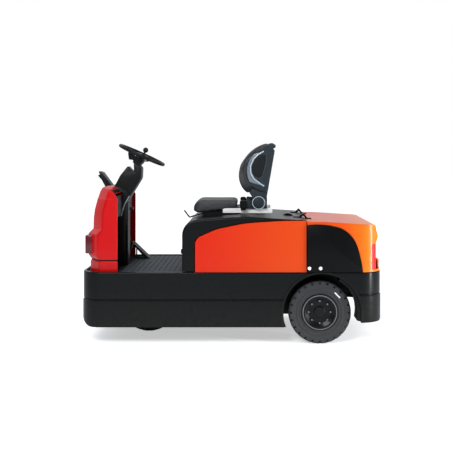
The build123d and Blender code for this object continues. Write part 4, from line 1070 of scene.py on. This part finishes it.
@dataclass
class Seat:
    """Cushion, backrest shell with its pad, piping, recess and recliner caps."""

    shell_half: float = 222.0
    pad_half: float = 205.0
    shell_arcs: Sequence[Arc] = (
        ((226, 1005), (98.5, 1172), (211, 1327)),
        ((211, 1327), (243, 1356), (286, 1369)),
    )
    shell_rear: Sequence[Flat] = (
        (310, 1354), (308, 1334), (288, 1328), (302, 1317), (241, 960),
    )
    pad_arcs: Sequence[Arc] = (
        ((114, 1004), (50, 1145), (92, 1251)),
        ((92, 1251), (166, 1326), (262, 1366)),
    )
    pad_rear: Sequence[Flat] = ((262, 1332), (206, 1312), (116, 1180), (168, 1044))
    highlight_band: Sequence[Flat] = (
        (222, 1309), (180.8, 1284.9), (150.3, 1254.4), (129, 1205), (129.5, 1155),
        (151, 1114), (187.9, 1085), (224, 1061),
    )
    recess: Sequence[Corner] = (
        (140, 1239.5, 14), (195.7, 1290, 20), (240, 1287, 16), (238, 1228, 30),
        (212, 1126, 16), (186, 1114, 12), (150, 1134, 18), (131, 1182, 30),
    )
    piping: Sequence[Flat] = (
        (166, 1312), (118, 1281), (90, 1249), (75, 1190), (78, 1136), (95, 1079),
        (113, 1041), (126, 1008),
    )
    cuts: Sequence[float] = (0.06, 0.14, 0.24, 0.76, 0.86, 0.94)
    top_share: float = 0.74
    top_cut: float = 0.30
    top_power: float = 2.6
    foot_share: float = 0.24
    foot_cut: float = 0.16
    shell_edge: float = 9.0
    line_out: float = 0.6
    line_radius: float = 5.0
    line_round: float = 24.0
    band_reach: Flat = (1062, 1308)
    band_set: float = 5.0
    band_depth: Flat = (-3, 0.5)
    recess_depth: Flat = (-4, 0.8)
    band_edge: float = 0.5
    recess_edge: float = 0.6
    frame_radius: float = 2.6
    piping_set: float = 3.0
    piping_radius: float = 3.2
    piping_round: float = 30.0
    piping_reach: Flat = (1270, 96)
    cap_centre: Flat = (186, 944)
    cap_side: float = 246.0
    cap_steps: int = 48
    cap_disc: Sequence[Flat] = ((0.1, 3), (30, 3), (35, 1), (37, -1))
    cap_rim: Sequence[Flat] = ((40.5, -3), (42, 0.6), (45, 0.6), (46.5, -3))

    def back_shape(self, outline: Sequence[Flat], half: float, edge: float) -> Shape:
        """Side outline of the backrest carried across it, narrowed and rounded at its top and foot."""
        shape = Shape().prism(outline, -half, half, edge)
        low = min(z for _, z in outline)
        high = max(z for _, z in outline)
        for cut in self.cuts:
            bmesh.ops.bisect_plane(
                shape.mesh, geom=[*shape.mesh.verts, *shape.mesh.edges, *shape.mesh.faces],
                plane_co=(0.0, 0.0, low + cut * (high - low)), plane_no=(0.0, 0.0, 1.0),
            )
        for vert in shape.mesh.verts:
            share = (vert.co.z - low) / (high - low)
            top = max(0.0, (share - self.top_share) / (1.0 - self.top_share))
            foot = max(0.0, (self.foot_share - share) / self.foot_share)
            vert.co.y *= 1.0 - self.top_cut * top ** self.top_power - self.foot_cut * foot ** 2.0
        return shape

    def shell(self) -> None:
        """Grey shell, with a painted highlight band and line along its front and a dark sheet of painted
        shade in its side recess.
        """
        outline = run(self.shell_arcs, self.shell_rear)
        self.back_shape(outline, self.shell_half, self.shell_edge).piece(
            "backrest_shell_form", SHELL_PLASTIC, "hood", "shell_grey", ("backrest_shell",), crease=30,
        )
        line = rounded([(x, z, self.line_round) for x, z in self.highlight_band], closed=False, steps=4)
        low, high = self.band_reach
        front = [
            (x + self.band_set, z) for x, z in run(self.shell_arcs[:1]) if low < z < high
        ]
        recess = rounded(self.recess)
        for name, side in SIDES:
            at = side * (self.shell_half + self.line_out)
            # Pale tube along the band's inner edge: painted highlight.
            Shape().tube([(x, at, z) for x, z in line], self.line_radius).piece(
                f"backrest_glint_line_{name}", SHELL_GLINT, "hood", "shell_grey",
            )
            # The band is painted highlight; the recess sheet is painted shade.
            for part, outline, finish, depth, edge in (
                ("highlight_band", front + line, SHELL_HIGHLIGHT, self.band_depth, self.band_edge),
                ("recess", recess, RECESS_SHADE, self.recess_depth, self.recess_edge),
            ):
                reach = across(side, self.shell_half + depth[0], self.shell_half + depth[1])
                Shape().prism(outline, *reach, edge).piece(
                    f"backrest_{part}_{name}", finish, "hood", "shell_grey",
                )
            Shape().tube([(x, at, z) for x, z in (*recess, recess[0])], self.frame_radius).piece(
                f"backrest_recess_frame_{name}", PIPING, "hood", "shell_grey",
            )

    def pad(self) -> None:
        """Black pad with a piping line along each side."""
        outline = run(self.pad_arcs, self.pad_rear)
        data = self.solid_mesh(self.back_shape(outline, self.pad_half, 0.0))
        solid = bpy.data.objects.new("pad_start", data)
        Padding("backrest_pad_soft", "backrest_pad", rounds=6, inset=0.001).build(solid)
        bpy.data.objects.remove(solid)
        line = rounded([(x, z, self.piping_round) for x, z in self.piping], closed=False, steps=4)
        start, reach = self.piping_reach
        for name, side in SIDES:
            half = side * (self.pad_half - self.piping_set)
            path = [
                (x, half * (1.0 - self.top_cut * max(0.0, (z - start) / reach) ** self.top_power), z)
                for x, z in line
            ]
            Shape().tube(path, self.piping_radius).piece(
                f"backrest_piping_{name}", PIPING, "hood", "seat_vinyl",
            )

    @staticmethod
    def solid_mesh(shape: Shape) -> bpy.types.Mesh:
        """Mesh of a shape, in metres, to start a padded piece from."""
        bmesh.ops.scale(shape.mesh, vec=(MM, MM, MM), verts=shape.mesh.verts)
        bmesh.ops.recalc_face_normals(shape.mesh, faces=shape.mesh.faces)
        data = bpy.data.meshes.new("solid")
        shape.mesh.to_mesh(data)
        shape.mesh.free()
        return data

    def caps(self) -> None:
        """Round recliner caps on both sides, with a pale rim as painted highlight."""
        x, z = self.cap_centre
        for name, side in SIDES:
            for part, finish, profile in (
                ("cap", SHELL_PLASTIC, self.cap_disc), ("rim", SHELL_GLINT, self.cap_rim),
            ):
                Shape().lathe(profile, (x, side * self.cap_side, z), self.cap_steps, side).piece(
                    f"recliner_{part}_{name}", finish, "hood", "shell_grey",
                )

    def build(self) -> None:
        """Makes the seat's pieces."""
        Padding("seat_cushion_soft", "seat_cushion", rounds=8).build()
        self.shell()
        self.pad()
        self.caps()


# Rear
@dataclass
class ArchLining:
    """Lining behind each rear wheel, the foot of its arch and a plate beside the body pan.

    No CAD solid has these pieces. They darken the view through the arch, as in the photograph.
    """

    centre: Flat = (611, 218)
    outer: float = 262.0
    inner: float = 240.0
    low_deg: float = -13.0
    high_deg: float = 62.0
    reach: Flat = (330, 492)
    chords: int = 14
    edge: float = 1.5
    foot: Sequence[Corner] = (
        (335, 121, 0), (367, 121, 2), (357, 150, 0), (351, 180, 0),
        (349, 215, 0), (335, 215, 0),
    )
    foot_reach: Flat = (-497.5, -478)
    plate: Sequence[Corner] = (
        (330, 169, 0), (396, 169, 4), (396, 330, 4), (330, 330, 0),
    )
    plate_reach: Flat = (-288, -276)

    def arc(self, radius: float) -> list[Flat]:
        """Run of points along the lining at one radius."""
        x, z = self.centre
        span = math.radians(self.high_deg - self.low_deg)
        turns = (math.radians(self.low_deg) + span * step / self.chords for step in range(self.chords + 1))
        return [(x + radius * math.cos(turn), z + radius * math.sin(turn)) for turn in turns]

    def build(self) -> None:
        """Makes the pieces of both sides."""
        outline = self.arc(self.outer) + list(reversed(self.arc(self.inner)))
        shape = Shape()
        for side in (1, -1):
            shape.prism(outline, *across(side, *self.reach), self.edge)
        shape.piece("arch_lining", ARCH_RUBBER, "root", "rubber_black")
        Slab(
            "arch_foot", self.foot, *self.foot_reach, SKIRT_PAINT, "skirt_black", edge=self.edge,
            mirrored=True,
        ).build()
        Slab(
            "pan_side_plate", self.plate, *self.plate_reach, STEEL_PAINT, "frame_steel", edge=1.0,
            mirrored=True,
        ).build()


@dataclass
class SideCovers:
    """Black D-shaped cover on each side of the rear body."""

    low: float = 490.0
    arcs: Sequence[Arc] = (
        ((510, 808), (625, 811), (736, 788)), ((736, 788), (806, 738), (850, 660)),
        ((850, 660), (872, 578), (886, 490)),
    )
    inner: float = 487.5
    outer: float = 499.0
    edge: float = 2.0

    def build(self) -> None:
        """Makes both covers in place of their CAD node."""
        outline = [(self.arcs[0][0][0], self.low), *run(self.arcs, steps=10)]
        shape = Shape()
        for side in (1, -1):
            shape.prism(outline, *across(side, self.inner, self.outer), self.edge)
        shape.piece("side_cover_forms", SIDE_COVER_PAINT, "root", "skirt_black", ("rear_side_covers",))


@dataclass
class CoverBolts:
    """Domed bolt heads along the foot of each rear side cover, in near-white paint as painted reflection."""

    places: Sequence[Flat] = ((524, 517), (599, 517))
    side: float = 499.0
    dome: Sequence[Flat] = ((0.1, 5), (6, 4.2), (10.5, 2.4), (12.5, -0.5))
    steps: int = 32

    def build(self) -> None:
        """Makes the heads on both sides."""
        for name, side in SIDES:
            heads = Shape()
            for x, z in self.places:
                heads.lathe(self.dome, (x, side * self.side, z), self.steps, side)
            heads.piece(f"cover_bolts_{name}", CHROME_GLINT_WHITE, "root", "chrome_trim")


@dataclass
class Studio:
    """Floor, lamps and camera of the photograph."""

    centre_x: float = 0.1035
    near_y: float = -0.5
    distance: float = 5.25
    height: float = 1.275
    per_pixel: float = 0.006735
    frame_px: float = 452.0
    vanish: tuple[float, float] = (247.0, 156.0)
    sensor: float = 36.0
    dim_wall: float = 0.10
    bright_wall: float = 0.92
    bright_side: Point = (0.0, 0.55, 0.84)
    wall_fade: tuple[float, float] = (0.05, 0.75)
    floor_half: float = 40.0
    floor_glow: float = 0.5
    lamps: Sequence[tuple[str, Point, Point, float, float, float]] = field(default_factory=lambda: (
        ("key", (-1.6, -4.5, 3.6), (0.0, -0.4, 0.5), 2.4, 1.8, 185.0),
        ("tail", (3.65, -1.67, 0.8), (0.95, -0.4, 0.5), 0.4, 1.7, 110.0),
    ))

    def camera(self) -> None:
        """Camera level with the horizon of the photograph, with the photograph's framing."""
        data = bpy.data.cameras.new("camera")
        data.sensor_width = self.sensor
        data.lens = self.distance / self.per_pixel / self.frame_px * self.sensor
        middle = self.frame_px / 2
        data.shift_x = (middle - self.vanish[0]) / self.frame_px
        data.shift_y = (self.vanish[1] - middle) / self.frame_px
        data.clip_end = 100.0
        camera = bpy.data.objects.new("camera", data)
        camera.location = (self.centre_x, self.near_y - self.distance, self.height)
        camera.rotation_euler = (math.radians(90.0), 0.0, 0.0)
        bpy.context.scene.collection.objects.link(camera)
        bpy.context.scene.camera = camera

    def floor(self) -> None:
        """White floor that keeps the tractor's shadow."""
        mesh = bmesh.new()
        bmesh.ops.create_grid(mesh, x_segments=1, y_segments=1, size=self.floor_half)
        data = bpy.data.meshes.new("floor")
        mesh.to_mesh(data)
        mesh.free()
        floor = bpy.data.objects.new("floor", data)
        bpy.context.scene.collection.objects.link(floor)
        material = bpy.data.materials.new("floor_white")
        graph = Graph(material)
        graph.shade({
            "Base Color": (0.93, 0.95, 0.98),
            "Roughness": 0.9,
            "Specular IOR Level": 0.1,
            "Emission Color": (1.0, 1.0, 1.0),
            "Emission Strength": graph.node("ShaderNodeLightPath", output="Is Camera Ray") * self.floor_glow,
        })
        data.materials.append(material)

    def world(self) -> None:
        """Studio walls: dim behind the camera, bright overhead and behind the tractor, white where seen."""
        world = bpy.data.worlds.new("studio")
        bpy.context.scene.world = world
        graph = Graph(world)
        dim, bright, white = (
            graph.node("ShaderNodeBackground", inputs={"Color": tint, "Strength": strength})
            for tint, strength in (
                ((0.80, 0.90, 1.0), self.dim_wall),
                ((0.94, 0.97, 1.0), self.bright_wall),
                ((1.0, 1.0, 1.0), 1.0),
            )
        )
        toward = graph.node(
            "ShaderNodeVectorMath",
            {"operation": "DOT_PRODUCT"},
            {0: graph.node("ShaderNodeTexCoord", output="Generated"), 1: self.bright_side},
            output="Value",
        )
        share = toward.ramp(*self.wall_fade)
        room = graph.node("ShaderNodeMixShader", inputs={0: share, 1: dim, 2: bright})
        seen = graph.node("ShaderNodeLightPath", output="Is Camera Ray")
        whole = graph.node("ShaderNodeMixShader", inputs={0: seen, 1: room, 2: white})
        graph.feed(graph.tree.nodes["World Output"].inputs[0], whole)

    def lights(self) -> None:
        """Soft box lamps, each aimed at a point."""
        for name, place, aim, width, height, power in self.lamps:
            data = bpy.data.lights.new(name, "AREA")
            data.shape = "RECTANGLE"
            data.size = width
            data.size_y = height
            data.energy = power
            lamp = bpy.data.objects.new(name, data)
            lamp.location = place
            turn = (Vector(aim) - Vector(place)).to_track_quat("-Z", "Y")
            lamp.rotation_euler = turn.to_euler()
            bpy.context.scene.collection.objects.link(lamp)

    def build(self) -> None:
        """Sets up the whole studio."""
        bpy.context.scene.view_settings.view_transform = "Standard"
        self.camera()
        self.floor()
        self.world()
        self.lights()


def main() -> None:
    """Builds the studio and dresses the tractor."""
    logging.basicConfig(level=logging.INFO, format="%(message)s")
    Studio().build()
    dress_frame()
    wheels = (
        ("front", "front_wheel", (-610.0, 0.0, 212.5), (-1.0, 1.0)),
        ("rear_left", "rear_left_wheel", (598.0, -386.0, 212.5), (-1.0,)),
        ("rear_right", "rear_right_wheel", (598.0, 386.0, 212.5), (1.0,)),
    )
    for name, body, centre, faces in wheels:
        Tyre(f"{name}_tyre", body, centre).build()
        for outward in faces:
            side = "near" if outward < 0 else "far"
            WheelTrim(f"{name}_{side}", body, centre, outward).build()
    Cowl().build()
    for slab in SLABS:
        slab.build()
    DashGlintAndKnob().build()
    SteeringKnob().build()
    Seat().build()
    ArchLining().build()
    SideCovers().build()
    CoverBolts().build()


if __name__ == "__main__":
    main()
